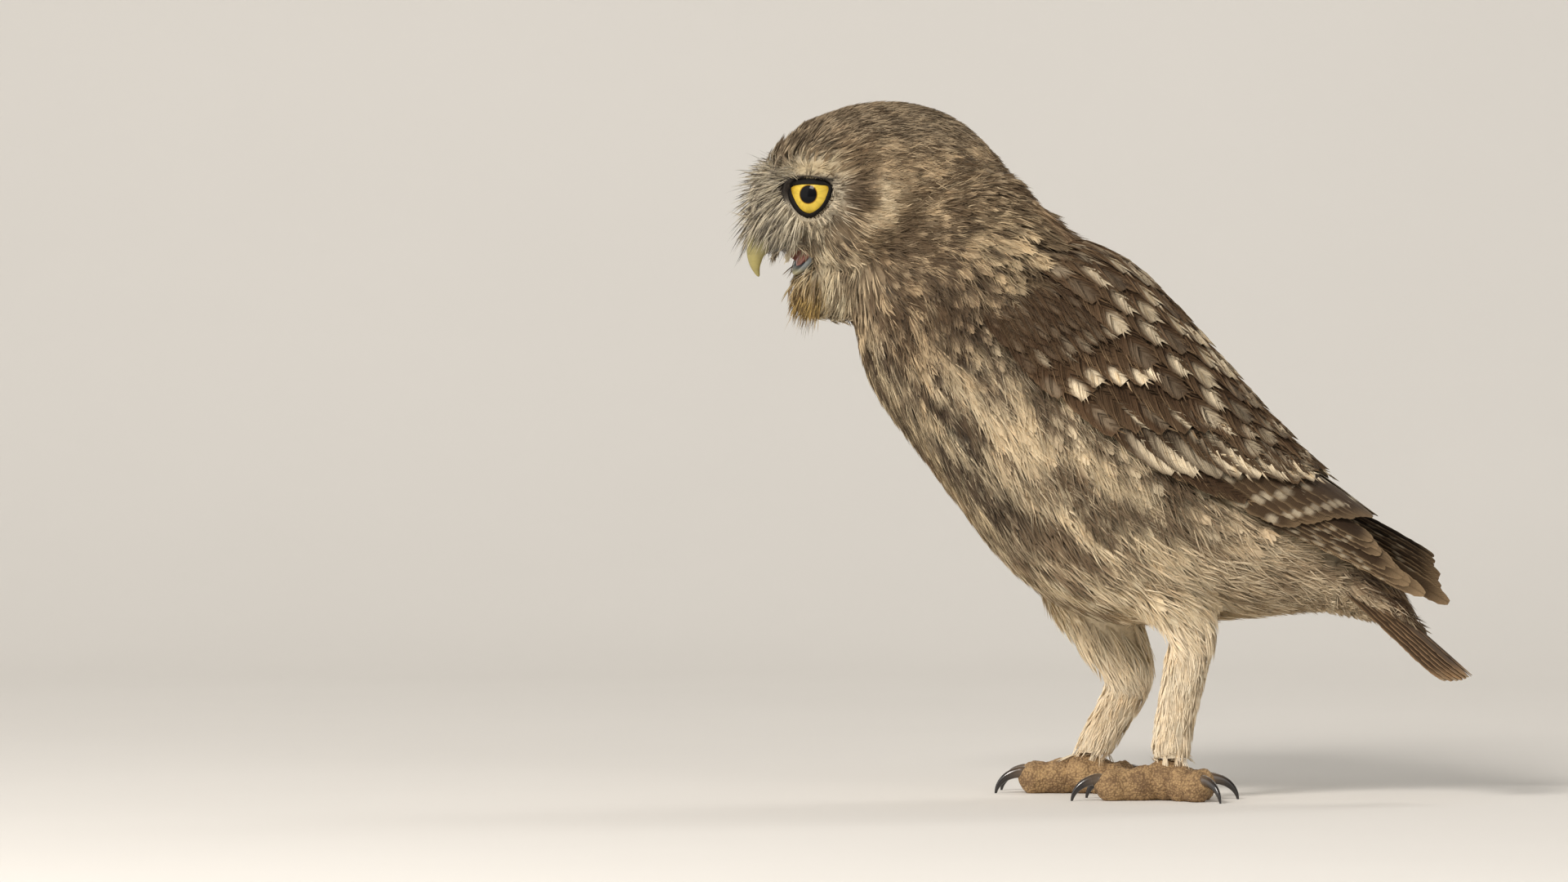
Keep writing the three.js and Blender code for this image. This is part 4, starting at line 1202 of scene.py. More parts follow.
def lay_tier(coat, row, wing, rng, number):
    """Lays one tier of a wing on the mantle."""
    flight = row["kind"] == "flight"
    count, steps = len(row["places"]), 8 if flight else 5
    places = row["places"] + rng.normal(0, 1, (count, 4)) * [0.004, 0.6, 0.005, 0.8]
    along = np.linspace(0, 1, steps)[None]
    share = mix(places[:, :1], places[:, 2:3], along)
    angle = mix(places[:, 1:2], places[:, 3:], along)
    stand = wing["stand"] if number == 0 else 0.0
    lift = row["lift"] - row["dip"] * (1 - along) ** 2 + stand * along**2
    lift = lift + rng.normal(0, 0.1, (count, 1))
    lift = lift - 7.0 * smooth(0.09, -0.03, share)
    spine = mantle.point(share, angle, lift, wing["side"])
    out = unit(mantle.point(share, angle, lift + 4, wing["side"]) - spine)
    length = np.linalg.norm(np.diff(spine, axis=1), axis=2).sum(1)
    half = row["half"] * rng.normal(1, 0.04, count)
    kinds = vane_kinds(row["kind"], float(length.mean() / half.mean()))
    looks = np.stack([rng.normal(1, 0.06, count), rng.normal(0, 1, count)], -1)
    paint = vane_paint(looks, row["ground"], row["edge"], row["spots"])
    uv = np.stack([0.04 + 0.9 * share[:, 0] + 0.02 * (number % 2), 0.04 + angle[:, 0] / 110], -1)
    slope = 0.07 if places[:, 3].mean() > 55 else 0.17
    flip = -wing["side"]
    coat.lay(kinds, spine, out, half, uv, paint, camber=0.09, slope=slope, flip=flip, patch=0.014)


TAIL_ROOT = np.array([37.0, MIDDLE, 69.0])
TAIL_TIP = np.array([80.4, MIDDLE, 32.6])
TAIL_PAIRS = 6


def lay_tail(coat, rng):
    """The tail feathers, the middle pair on top and longest."""
    count = 2 * TAIL_PAIRS
    axis = unit(TAIL_TIP - TAIL_ROOT)
    above = np.array([-axis[2], 0, axis[0]])
    along = np.linspace(0, 1, 8)
    spines, outs = [], []
    for pair in range(TAIL_PAIRS):
        share = pair / (TAIL_PAIRS - 1)
        for side in (-1, 1):
            length = np.linalg.norm(TAIL_TIP - TAIL_ROOT) - 3.4 * share**2
            aside = side * (mix(1.2, 7.6, share) * mix(0.5, 1.2, along) + 1.2)
            arch = 1.4 - 0.5 * pair + (0.3 if side > 0 else 0) + 1.6 * along * (1 - along)
            arch = arch - 0.012 * aside**2
            spines.append(
                TAIL_ROOT + axis * (length * along)[:, None] + above * arch[:, None]
                + np.array([0, 1, 0]) * aside[:, None]
            )  # fmt: skip
            outs.append(unit(above + np.array([0, 0.03, 0]) * aside[:, None]))
    spine, out = np.stack(spines), np.stack(outs)
    looks = np.stack([rng.normal(1, 0.06, count), rng.normal(0, 1, count)], -1)
    uv = np.stack([0.1 + 0.07 * np.arange(count), np.full(count, 0.5)], -1)
    spots = [(0.6, 1.0, 0.0, 0.05, 1.2)]
    paint = vane_paint(looks, mix(DARK, BROWN, 0.6), 0.7, spots, mix(BUFF, RUST, 0.4))
    half = np.full(count, 3.8)
    coat.lay(vane_kinds("flight", 13.0), spine, out, half, uv, paint, camber=0.08, patch=0.05)


# Settings


class OwlCoatSettings(bpy.types.PropertyGroup):
    """How the small feathers are laid."""

    spacing: FloatProperty(
        name="Spacing", description="Distance between roots, as a share of the tract's own", default=1.0,
        min=0.5, max=4,
    )  # fmt: skip
    voxel: FloatProperty(
        name="Skin voxel", description="Size of the skin's mesh", default=0.0011, unit="LENGTH"
    )
    depth: FloatProperty(
        name="Coat depth", description="How far the skin lies under the feathers' surface",
        default=0.0018, unit="LENGTH",
    )  # fmt: skip
    seed: IntProperty(name="Seed", description="Seed of the feathers' small differences", default=7)


def colour_property(name, description, red, green, blue):
    """A colour setting, with its default given as screen values."""
    default = tuple(linear(red, green, blue).tolist())
    return FloatVectorProperty(
        name=name, description=description, default=default, subtype="COLOR", min=0, max=1
    )


class OwlColourSettings(bpy.types.PropertyGroup):
    """Colours of the eyes and claws."""

    iris: colour_property("Iris", "Colour of the iris by the pupil", 236, 204, 84)
    iris_edge: colour_property("Iris edge", "Colour of the iris at its edge", 212, 170, 46)
    claw: colour_property("Claw", "Colour of the claws at their roots", 104, 88, 72)
    claw_tip: colour_property("Claw tip", "Colour of the claws at their tips", 34, 29, 27)


class OwlStageSettings(bpy.types.PropertyGroup):
    """Camera and light."""

    turn: FloatProperty(
        name="Camera turn", description="Turn from a square view of the left side, towards the tail",
        default=math.radians(11), subtype="ANGLE",
    )  # fmt: skip
    rise: FloatProperty(
        name="Camera rise", description="Angle of the camera above level", default=math.radians(2),
        subtype="ANGLE",
    )  # fmt: skip
    distance: FloatProperty(
        name="Camera distance", description="From the camera to the owl", default=4.74, unit="LENGTH"
    )
    lens: FloatProperty(name="Lens", description="Focal length in mm", default=400.0)
    key: FloatProperty(name="Key light", description="Power of the main light in watts", default=24.0)


# Operators


def run_on_skin(context):
    """The skin's surface and the settings of the coat."""
    return Surface(bpy.data.objects["skin"]), context.scene.owl_coat


class OWL_OT_skin(bpy.types.Operator):
    """One skin under the feathers, from the solids of the head, neck, torso and legs"""

    bl_idname = "owl.skin"
    bl_label = "Skin"

    flesh = ("head", "neck", "torso", "thigh_left", "thigh_right", "tarsus_left", "tarsus_right")

    def execute(self, context):
        settings = context.scene.owl_coat
        points, faces, count = [], [], 0
        swell = 0.4  # so that the solids, which meet face to face, overlap
        for name in self.flesh:
            corners, triangles, normals = welded_mesh(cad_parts[name].data)
            points.append(corners + normals * swell)
            faces.append(triangles + count)
            count += len(corners)
        raw = make("skin", np.concatenate(points), [np.concatenate(faces)], "plumage", under_skin())
        remesh = raw.modifiers.new("Remesh", "REMESH")
        remesh.mode = "VOXEL"
        remesh.voxel_size = settings.voxel
        relax = raw.modifiers.new("Relax", "SMOOTH")
        relax.factor, relax.iterations = 0.5, 8
        evaluated = raw.evaluated_get(context.evaluated_depsgraph_get())
        mesh = bpy.data.meshes.new_from_object(evaluated)
        raw.modifiers.clear()
        old, raw.data = raw.data, mesh
        bpy.data.meshes.remove(old)
        sink(mesh, settings.depth / MM + swell)
        mesh.materials.clear()
        mesh.materials.append(under_skin())
        mesh.polygons.foreach_set("use_smooth", np.ones(len(mesh.polygons), bool))
        unwrap(context, raw)
        rows = tract(read(mesh.vertices, "co").astype(float) / MM)
        dark = np.clip(rows[:, column("cover")] * rows[:, column("strength")], 0, 1)
        write_tint(mesh, mix(rows[:, :3], rows[:, 3:6], dark[:, None]))
        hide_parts(*self.flesh)
        return {"FINISHED"}


def welded_mesh(mesh):
    """Points in mm, triangles and point normals of a mesh, with points at one place joined."""
    places = read(mesh.vertices, "co") / MM
    mesh.calc_loop_triangles()
    corners = read(mesh.loop_triangles, "vertices", kind=np.int32)
    _, first, back = np.unique(np.round(places, 3), axis=0, return_index=True, return_inverse=True)
    points, faces = places[first].astype(float), back.ravel()[corners]
    shapes = points[faces]
    normals = np.cross(shapes[:, 1] - shapes[:, 0], shapes[:, 2] - shapes[:, 0])
    total = np.zeros_like(points)
    for corner in range(3):
        np.add.at(total, faces[:, corner], normals)
    return points, faces, unit(total)


def sink(mesh, depth):
    """Moves a mesh inwards along its normals, in mm."""
    places, normals = read(mesh.vertices, "co"), read(mesh.vertex_normals, "vector")
    mesh.vertices.foreach_set("co", (places - normals * depth * MM).ravel())
    mesh.update()


def unwrap(context, piece):
    """Unwraps a piece by its own shape into a map named OFBake."""
    for layer in list(piece.data.uv_layers):
        piece.data.uv_layers.remove(layer)
    piece.data.uv_layers.new(name="OFBake")
    context.view_layer.objects.active = piece
    for other in context.selected_objects:
        other.select_set(False)
    piece.select_set(True)
    bpy.ops.object.mode_set(mode="EDIT")
    bpy.ops.mesh.select_all(action="SELECT")
    bpy.ops.uv.smart_project(angle_limit=math.radians(60), island_margin=0.004)
    bpy.ops.object.mode_set(mode="OBJECT")


def lay_small(coat, surface, roots, kinds, seed, camber=0.1, steps=4, scale=1.0, lift=0.0):
    """Lays small feathers on roots by their tracts, at a scale of the tracts' lengths and lifted a
    little more than they say."""
    points, normals, uv = roots
    rows = tract(points)
    rng = np.random.default_rng(seed)
    lengths = scale * rows[:, column("length")] * rng.normal(1, 0.1, len(rows))
    aims = lie(points, normals)
    swing = rng.normal(0, 0.1, len(rows))[:, None]
    aims = aims + np.cross(normals, aims) * swing
    lifts = lift + 0.75 * rows[:, column("lift")] * rng.normal(1, 0.1, len(rows))
    spine, out = surface.lay(points, normals, aims, lengths, lifts, steps)
    paint = painter(rows, tract(spine[:, -1]), flow(points), seed + 1)
    coat.lay(kinds, spine, out, rows[:, column("half")], uv, paint, camber)


# The zones of the skin, each with a coat of its own.
NONE, NECK, BREAST, BELLY, BACK, HEAD, FACE, LEG = range(8)


def zone(points):
    """Which zone each point is in."""
    share, angle, _ = body_place(points)
    head = head_place(points)
    eye = at_eye(head)
    leg, _, _ = leg_place(points)
    skull = on_head(points, -2.01, -2) > 0.5
    code = np.where(share < 0.4, NECK, np.where(share < 0.56, BREAST, BELLY))
    code = np.where((angle > 58) & (share > 0.25), BACK, code)
    code = np.where(skull, HEAD, code)
    round_eye = (np.hypot(eye[:, 0], eye[:, 1]) < 14) & (eye[:, 2] > -2) & (head[:, 2] > -16)
    bristly = (head[:, 0] > 29.5) & (head[:, 2] < 7) | (head[:, 0] > 9) & (head[:, 2] < -15.5)
    code = np.where(skull & (round_eye | bristly), FACE, code)
    code = np.where((leg < 14) & (points[:, 2] < 54), LEG, code)
    return np.where(covered(points), NONE, code)


def scattered(context, codes, seed, share=1.0):
    """The skin's surface, roots on some of its zones, at a share of the tracts' spacing, and the
    zone of each root."""
    surface, settings = run_on_skin(context)

    def spacing(points):
        chosen = np.isin(zone(points), codes)
        return np.where(chosen, tract(points)[:, column("spacing")], 0) * settings.spacing * share

    roots = surface.scatter(spacing, settings.seed + seed)
    return surface, roots, zone(roots[0])


def some(roots, chosen):
    """The chosen ones of some roots."""
    return tuple(part[chosen] for part in roots)


class OWL_OT_body_coat(bpy.types.Operator):
    """Small feathers of the neck, breast, belly and back, with loose barbs over them"""

    bl_idname = "owl.body_coat"
    bl_label = "Body coat"

    def execute(self, context):
        seed = context.scene.owl_coat.seed
        zones = (NECK, BREAST, BELLY, BACK)
        surface, roots, codes = scattered(context, zones, 0)
        _, loose, loose_codes = scattered(context, zones, 10, 0.55)
        feathers = [Feather(kind, 3.7) for kind in range(8)]
        hairs = hair_kinds(20, strands=7, joints=2, stretch=4.0, width=0.04)
        over = {"camber": 0, "steps": 3, "scale": 0.8, "lift": 0.3}
        for code, name in ((NECK, "neck"), (BREAST, "breast"), (BELLY, "belly"), (BACK, "back")):
            coat = Coat()
            lay_small(coat, surface, some(roots, codes == code), feathers, seed + code)
            lay_small(coat, surface, some(loose, loose_codes == code), hairs, seed + 8 + code, **over)
            coat.make("coat_" + name, "plumage", soft_plumage())
        return {"FINISHED"}


class OWL_OT_head_coat(bpy.types.Operator):
    """Small feathers of the crown and the side of the head, and the finer ones of the face"""

    bl_idname = "owl.head_coat"
    bl_label = "Head coat"

    def execute(self, context):
        seed = context.scene.owl_coat.seed
        surface, roots, _ = scattered(context, (HEAD,), 20)
        coat = Coat()
        kinds = [Feather(40 + kind, 3.9, barbs=9, loose=0.7) for kind in range(8)]
        lay_small(coat, surface, roots, kinds, seed + 21)
        _, loose, _ = scattered(context, (HEAD,), 26, 0.6)
        kinds = hair_kinds(50, strands=6, joints=2, stretch=4.0, spread=0.7)
        lay_small(coat, surface, loose, kinds, seed + 27, camber=0, steps=3, scale=0.8, lift=0.2)
        coat.make("coat_head", "plumage", soft_plumage())
        surface, roots, _ = scattered(context, (FACE,), 22)
        coat = Coat()
        kinds = hair_kinds(60, strands=7, joints=3, stretch=5.0, spread=0.7, width=0.075)
        lay_small(coat, surface, roots, kinds, seed + 23, camber=0.05)
        coat.make("coat_face", "plumage", soft_plumage())
        return {"FINISHED"}


class OWL_OT_bristles(bpy.types.Operator):
    """The long bristles that fan out in front of the eyes and over the bill"""

    bl_idname = "owl.bristles"
    bl_label = "Bristles"

    def execute(self, context):
        surface, settings = run_on_skin(context)

        def spacing(points):
            ahead, side, up = folded(head_place(points)).T
            fan = (ahead > 29) & (side < 15) & (up < 11) & (up > -14)
            chin = (ahead > 21) & (side < 8) & (up < -24)
            free = (fan | chin) & ~covered(points)
            return np.where(free, np.where(chin, 0.75, 0.85), 0) * settings.spacing

        points, normals, uv = surface.scatter(spacing, settings.seed + 40)
        rng = np.random.default_rng(settings.seed + 41)
        head = head_place(points)
        side = np.where(head[:, 1] < 0, -1, 1)
        chin = head[:, 2] < -20
        fan = unit(np.stack([head[:, 0] - 28.9, head[:, 2] - 0.4], -1)) + 0.6 * np.array([0.8, -0.6])
        aim = np.stack([fan[:, 0], side * (0.1 + 0.02 * np.abs(head[:, 1])), fan[:, 1] - 0.25], -1)
        ridge = smooth(1, -6, head[:, 2]) * smooth(9, 5, np.abs(head[:, 1])) * (1 - chin)
        over_bill = np.stack([0.5 + 0 * side, 0.12 * side, -1.0 + 0 * side], -1)
        aim = mix(unit(aim), over_bill, ridge[:, None])
        from_chin = np.stack([0.25 + 0 * side, 0.05 * side, -1.0 + 0 * side], -1)
        aim = np.where(chin[:, None], from_chin, aim)
        aim = unit(unit(aim) + rng.normal(0, 0.12, aim.shape)) @ HEAD_AXES.T
        far = rng.random(len(points)) > 0.9
        length = np.where(far, rng.uniform(8, 11, len(points)), rng.uniform(5, 8, len(points)))
        length = np.where(chin, rng.uniform(3.5, 7, len(points)), length * smooth(19, 1, head[:, 2]))
        length = length * mix(0.5, 1, np.maximum(smooth(-13, -6, head[:, 2]), chin))
        length = length + ridge * rng.uniform(0, 4, len(points))
        places = 5
        share = np.linspace(0, 1, places)[None, :, None]
        bent = 0.16 * normals[:, None] * share - [0, 0, 0.14] * share**2
        root = points[:, None] - ROOT_DEPTH * normals[:, None]
        spine = root + length[:, None, None] * (aim[:, None] * share + bent)
        out = unit(np.repeat(normals[:, None], places, 1) + 0.001)
        dark = np.where(far | (rng.random(len(points)) > 0.62), 1.0, 0.15)
        stain = smooth(36, 40, head[:, 0]) * smooth(-5, -9, head[:, 2])
        stain = np.clip(np.maximum(stain, chin), 0, 1)
        pale = mix(linear(216, 205, 180), linear(176, 148, 90), stain[:, None])
        grey = mix(linear(58, 51, 44), linear(92, 72, 40), stain[:, None])

        def paint(which, u, v, b, e):
            tip = dark[which] * smooth(0.15, 0.8, u) + 0.25 * smooth(0.6, 1, u) + 0.3 * (b - 0.5)
            colour = mix(pale[which], grey[which], np.clip(tip, 0, 1)[..., None])
            return colour * (0.85 + 0.3 * b)[..., None]

        coat = Coat()
        form = {"strands": 3, "joints": 4, "stretch": 8.0, "spread": 0.45, "width": 0.11, "loose": 0.3}
        kinds = hair_kinds(90, 6, **form)
        coat.lay(kinds, spine, out, np.full(len(points), 1.15), uv, paint, camber=0)
        coat.make("bristles", "plumage", soft_plumage())
        return {"FINISHED"}


class OWL_OT_leg_coat(bpy.types.Operator):
    """Short pale feathers of the legs"""

    bl_idname = "owl.leg_coat"
    bl_label = "Leg coat"

    def execute(self, context):
        surface, roots, _ = scattered(context, (LEG,), 30)
        normals = roots[1]
        roots = some(roots, normals[:, 2] > -0.5)
        coat = Coat()
        kinds = hair_kinds(80, strands=7, joints=3, stretch=4.2, width=0.075)
        lay_small(coat, surface, roots, kinds, context.scene.owl_coat.seed + 31, camber=0.05)
        coat.make("coat_legs", "leg_plumage", soft_plumage())
        return {"FINISHED"}


class OWL_OT_wings(bpy.types.Operator):
    """The folded wings, tier by tier"""

    bl_idname = "owl.wings"
    bl_label = "Wings"

    def execute(self, context):
        for name, wing in WINGS.items():
            rng = np.random.default_rng(context.scene.owl_coat.seed + 50)
            coat = Coat()
            for number, row in enumerate(wing_tiers(wing["tips"])):
                lay_tier(coat, row, wing, rng, number)
            piece = coat.make("vanes_wing_" + name, "flight_plumage", vane_plumage())
            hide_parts("wing_" + name)
        return {"FINISHED"}


class OWL_OT_tail(bpy.types.Operator):
    """The tail feathers"""

    bl_idname = "owl.tail"
    bl_label = "Tail"

    def execute(self, context):
        coat = Coat()
        lay_tail(coat, np.random.default_rng(context.scene.owl_coat.seed + 60))
        piece = coat.make("vanes_tail", "flight_plumage", vane_plumage())
        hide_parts("tail")
        return {"FINISHED"}


class OWL_OT_eyes(bpy.types.Operator):
    """The eyes and the dark rims of their lids"""

    bl_idname = "owl.eyes"
    bl_label = "Eyes"

    def execute(self, context):
        for name, side in (("left", 1), ("right", -1)):
            middle, axes = eye_axes(side)
            count = 64
            out, turn = np.meshgrid(
                np.linspace(0, np.pi, count + 1), np.arange(count) / count * 2 * np.pi, indexing="ij"
            )
            out, turn = out.ravel(), turn.ravel()
            ball = np.stack([np.sin(out) * np.cos(turn), np.sin(out) * np.sin(turn), np.cos(out)], -1)
            cornea = 0.035 * smooth(0.75, 0.2, np.hypot(ball[:, 0], ball[:, 1])) * (ball[:, 2] > 0)
            points = from_head(middle + ball * EYE_RADIUS * (1 + cornea)[:, None] @ axes)
            uv = np.stack([turn / (2 * np.pi), out / np.pi], -1)
            behind = 9 * (out > 1.5)  # past the iris, so that the back is dark
            eye = make(
                "eyeball_" + name, points, [grid_quads(count, count, True)], "eye", eye_surface(), uv,
                out=EYE_RADIUS * np.sin(np.minimum(out, np.pi / 2)) + behind,
                round=turn / (2 * np.pi),
            )  # fmt: skip
            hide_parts("eye_" + name)
            self.lids(name, middle, axes)
        return {"FINISHED"}

    def lids(self, name, middle, axes):
        """Rings round the opening: each is a line, its height over the eyeball and how pale it is.
        Short barbs from the outer ones run out over the face."""
        lid, rim = closed_line(LID_LINE), closed_line(RIM_LINE)
        rings = [
            (lid * 0.93, -0.6, 0), (lid, 0.25, 0), (mix(lid, rim, 0.3), 0.6, 0),
            (mix(lid, rim, 0.7), 0.6, 0), (rim, 0.35, 0), (rim * 1.07, 0.3, 0.6),
            (rim * 1.18, 0.2, 1), (rim * 1.3, 0, 1),
        ]  # fmt: skip
        count = len(rings)
        points, tint = [], []
        for ring, height, pale in rings:
            away = np.hypot(*ring.T)
            deep = np.sqrt(np.maximum((EYE_RADIUS + height) ** 2 - away**2, 4))
            points.append(np.column_stack([ring, deep]))
            colour = mix(linear(24, 21, 19), linear(112, 97, 74), pale)
            tint.append(np.tile(colour, (LID_POINTS, 1)))
        points = np.concatenate(points)
        around = np.tile(np.arange(LID_POINTS) / LID_POINTS, count)
        uv = np.stack([around, np.repeat(np.arange(count) / count, LID_POINTS)], -1)
        make(
            "lids_" + name, from_head(middle + points @ axes),
            [grid_quads(count - 1, LID_POINTS, True)], "plumage", lid_skin(), uv, np.concatenate(tint),
        )  # fmt: skip
        first, last = 4, 6  # the rings that carry barbs
        roots = np.tile(points[first * LID_POINTS : (last + 1) * LID_POINTS], (6, 1))
        rng = np.random.default_rng(80)
        roots = roots * (1 + rng.normal(0, 0.015, (len(roots), 1)))
        out = unit(roots)
        aim = unit(roots * [1, 1, 0] + 0.1 * rng.normal(size=roots.shape))
        aim = unit(aim - out * (aim * out).sum(-1, keepdims=True))
        places = 4
        share = np.linspace(0, 1, places)[None, :, None]
        length = rng.uniform(1.8, 3.6, len(roots))[:, None, None]
        spine = roots[:, None] + aim[:, None] * share * length
        spine = spine - out[:, None] * 0.09 * (share * length) ** 2
        spine = from_head(middle + (spine + 0.35 * out[:, None] * share**0.5) @ axes)
        normals = np.repeat((out @ axes @ HEAD_AXES.T)[:, None], places, 1)
        rows = tract(spine[:, -1])
        coat = Coat()
        kinds = hair_kinds(130, 6, strands=4, joints=2, stretch=3.0, width=0.07)
        spots = rng.random((len(roots), 2)) * 0.98
        paint = painter(rows, rows, spine[:, 0], 81)
        coat.lay(kinds, spine, normals, np.full(len(roots), 0.9), spots, paint, camber=0)
        coat.make("lashes_" + name, "plumage", soft_plumage())


class OWL_OT_bill(bpy.types.Operator):
    """The open bill, the lining of the mouth and the tongue"""

    bl_idname = "owl.bill"
    bl_label = "Bill and mouth"

    def execute(self, context):
        points, quads, uv = Loft(UPPER_BILL).grid(40, 48)
        low = -np.sin(2 * np.pi * uv[:, 0])
        roof = smooth(0.2, 0.9, uv[:, 1]) * smooth(0.6, 0.9, low)
        points[:, 2] += 1.0 * roof * smooth(1, 0.7, uv[:, 1])
        tip = smooth(0.4, 0.8, uv[:, 1])[:, None]
        tint = mix(linear(96, 100, 92), linear(158, 146, 88), tip)
        shade = smooth(0.5, 0.9, low) * smooth(0.75, 0.55, uv[:, 1])
        tint = mix(tint, linear(52, 46, 42), shade[:, None])
        upper = make("horn_upper", from_head(points), [quads], "bill", horn(), uv, tint)
        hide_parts("bill_upper")
        points, quads, uv = Loft(LOWER_BILL).grid(40, 36)
        inner = smooth(0.25, 0.85, np.sin(2 * np.pi * uv[:, 0]))
        hollow = inner * smooth(1, 0.6, uv[:, 1]) * smooth(0, 0.2, uv[:, 1])
        points[:, [0, 2]] -= np.outer(2.2 * hollow, [0.95, 0.31])
        tint = mix(linear(150, 158, 160), linear(96, 112, 124), inner[:, None])
        tint = mix(tint, linear(176, 168, 128), smooth(0.75, 1, uv[:, 1])[:, None])
        lower = make("horn_lower", from_head(points), [quads], "bill", horn(), uv, tint)
        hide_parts("bill_lower")
        points, quads, uv = Loft(TONGUE).grid(24, 20)
        tint = np.tile(linear(176, 112, 100), (len(points), 1))
        place = from_head(points)
        tongue = make("tongue_flesh", place, [quads], "mouth", mouth_lining(), uv, tint)
        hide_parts("tongue")
        points, quads, uv = Loft(MOUTH).grid(48, 30, 0.15, 0, 0.4)
        # painted shadow: the lining is nearly black on its upper side, for the shade in the top of the
        # open mouth, and pink below
        upper = smooth(-0.3, 0.5, np.sin(2 * np.pi * uv[:, 0]))
        tint = mix(linear(168, 108, 94), linear(46, 32, 30), upper[:, None])
        inwards = quads[:, ::-1]
        make("mouth_lining", from_head(points), [inwards], "mouth", mouth_lining(), uv, tint)
        return {"FINISHED"}


class OWL_OT_feet(bpy.types.Operator):
    """The toes and claws"""

    bl_idname = "owl.feet"
    bl_label = "Feet"

    def execute(self, context):
        for name, leg in LEGS.items():
            side = -1 if name == "left" else 1
            points, quads, uvs, count = [], [], [], 0
            for number, (turn, length) in enumerate(TOES.values()):
                part, faces, uv = self.toe(turn, length, leg, side)
                points.append(part)
                quads.append(faces + count)
                uvs.append(uv * [0.2, 0.9] + [0.02 + 0.24 * number, 0.05])
                count += len(part)
            part, faces, uv = self.pad(leg)
            points.append(part)
            quads.append(faces + count)
            uvs.append(uv * [0.02, 0.02] + [0.97, 0.97])
            foot = make(
                "toes_" + name, np.concatenate(points), [np.concatenate(quads)], "toe", toe_skin(),
                np.concatenate(uvs),
            )  # fmt: skip
            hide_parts("foot_" + name)
            for toe_name, (turn, length) in TOES.items():
                points, quads, uv = self.claw(turn, length, leg, side)
                piece_name = f"talon_{toe_name}_{name}"
                piece = make(
                    piece_name, points, [quads], "claw", claw_horn(), uv, along=uv[:, 1]
                )  # fmt: skip
                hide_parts(f"claw_{toe_name}_{name}")
        return {"FINISHED"}

    def placed(self, points, turn, leg, side):
        """From along +X at the middle of a foot to a toe of that foot."""
        aim = math.radians(turn)
        ahead = np.array([-math.cos(aim), side * math.sin(aim), 0])
        axes = np.stack([ahead, [-ahead[1], ahead[0], 0], [0, 0, 1]])
        placed = points @ axes + [leg["foot"][0], leg["foot"][1], 0]
        placed[:, 2] = np.maximum(placed[:, 2], 0)
        return placed

    def toe(self, turn, length, leg, side):
        """A toe with knuckles and warts."""
        rows = [
            (-2, 5.6, 90, 0, 0),
            (3, 4.9, 90, 4.9, TOE_RADIUS + 0.4),
            (0.5 * length, 4.1, 90, 4.4, TOE_RADIUS),
            (0.8 * length, 3.9, 90, 4.2, TOE_RADIUS - 0.3),
            (length, 4, 90, 0, 0),
        ]
        points, quads, uv = Loft(rows).grid(40, 60)
        middle = np.stack([points[:, 0], 0 * points[:, 1], np.full(len(points), 4.2)], -1)
        out = unit(points - middle)
        knuckle = 0.28 * np.cos(points[:, 0] / length * 2 * np.pi * 2.5)
        warts = 0.5 * (noise(points, 1.1, 3) - 0.5) + 0.35 * (noise(points, 0.55, 5) - 0.5)
        warts = warts * smooth(0, 0.1, uv[:, 1]) * smooth(1, 0.93, uv[:, 1])
        points = points + out * (knuckle + warts)[:, None]
        return self.placed(points, turn, leg, side), quads, uv

    def pad(self, leg):
        """The pad in the middle of a foot."""
        rows = [
            (-7, 5.2, 90, 0, 0), (-3.5, 5.4, 90, 5, 5.7), (0, 5.4, 90, 5.8, 6.6),
            (3.5, 5.4, 90, 5, 5.7), (7, 5.2, 90, 0, 0),
        ]  # fmt: skip
        points, quads, uv = Loft(rows).grid(40, 36)
        points = points * (1 + 0.05 * (noise(points, 1.2, 8) - 0.5))[:, None]
        return self.placed(points, 0, leg, 1), quads, uv

    def claw(self, turn, length, leg, side):
        """A claw that bends down in an arc and tapers to its tip."""
        share = np.linspace(0, 1, 9)
        degrees = mix(-14, 88, share)
        bend = np.radians(degrees)
        rows = np.stack(
            [
                length - 3.2 + CLAW_ARC * (np.sin(bend) + 0.24) * 1.15,
                5.6 - CLAW_ARC * (0.97 - np.cos(bend)),
                90 - degrees,
                np.where(share > 0, mix(1.75, 0.22, share**1.3), 0),
                np.where(share > 0, mix(1.35, 0.18, share**1.3), 0),
            ],
            -1,
        )
        points, quads, uv = Loft(rows).grid(24, 40)
        return self.placed(points, turn, leg, side), quads, uv


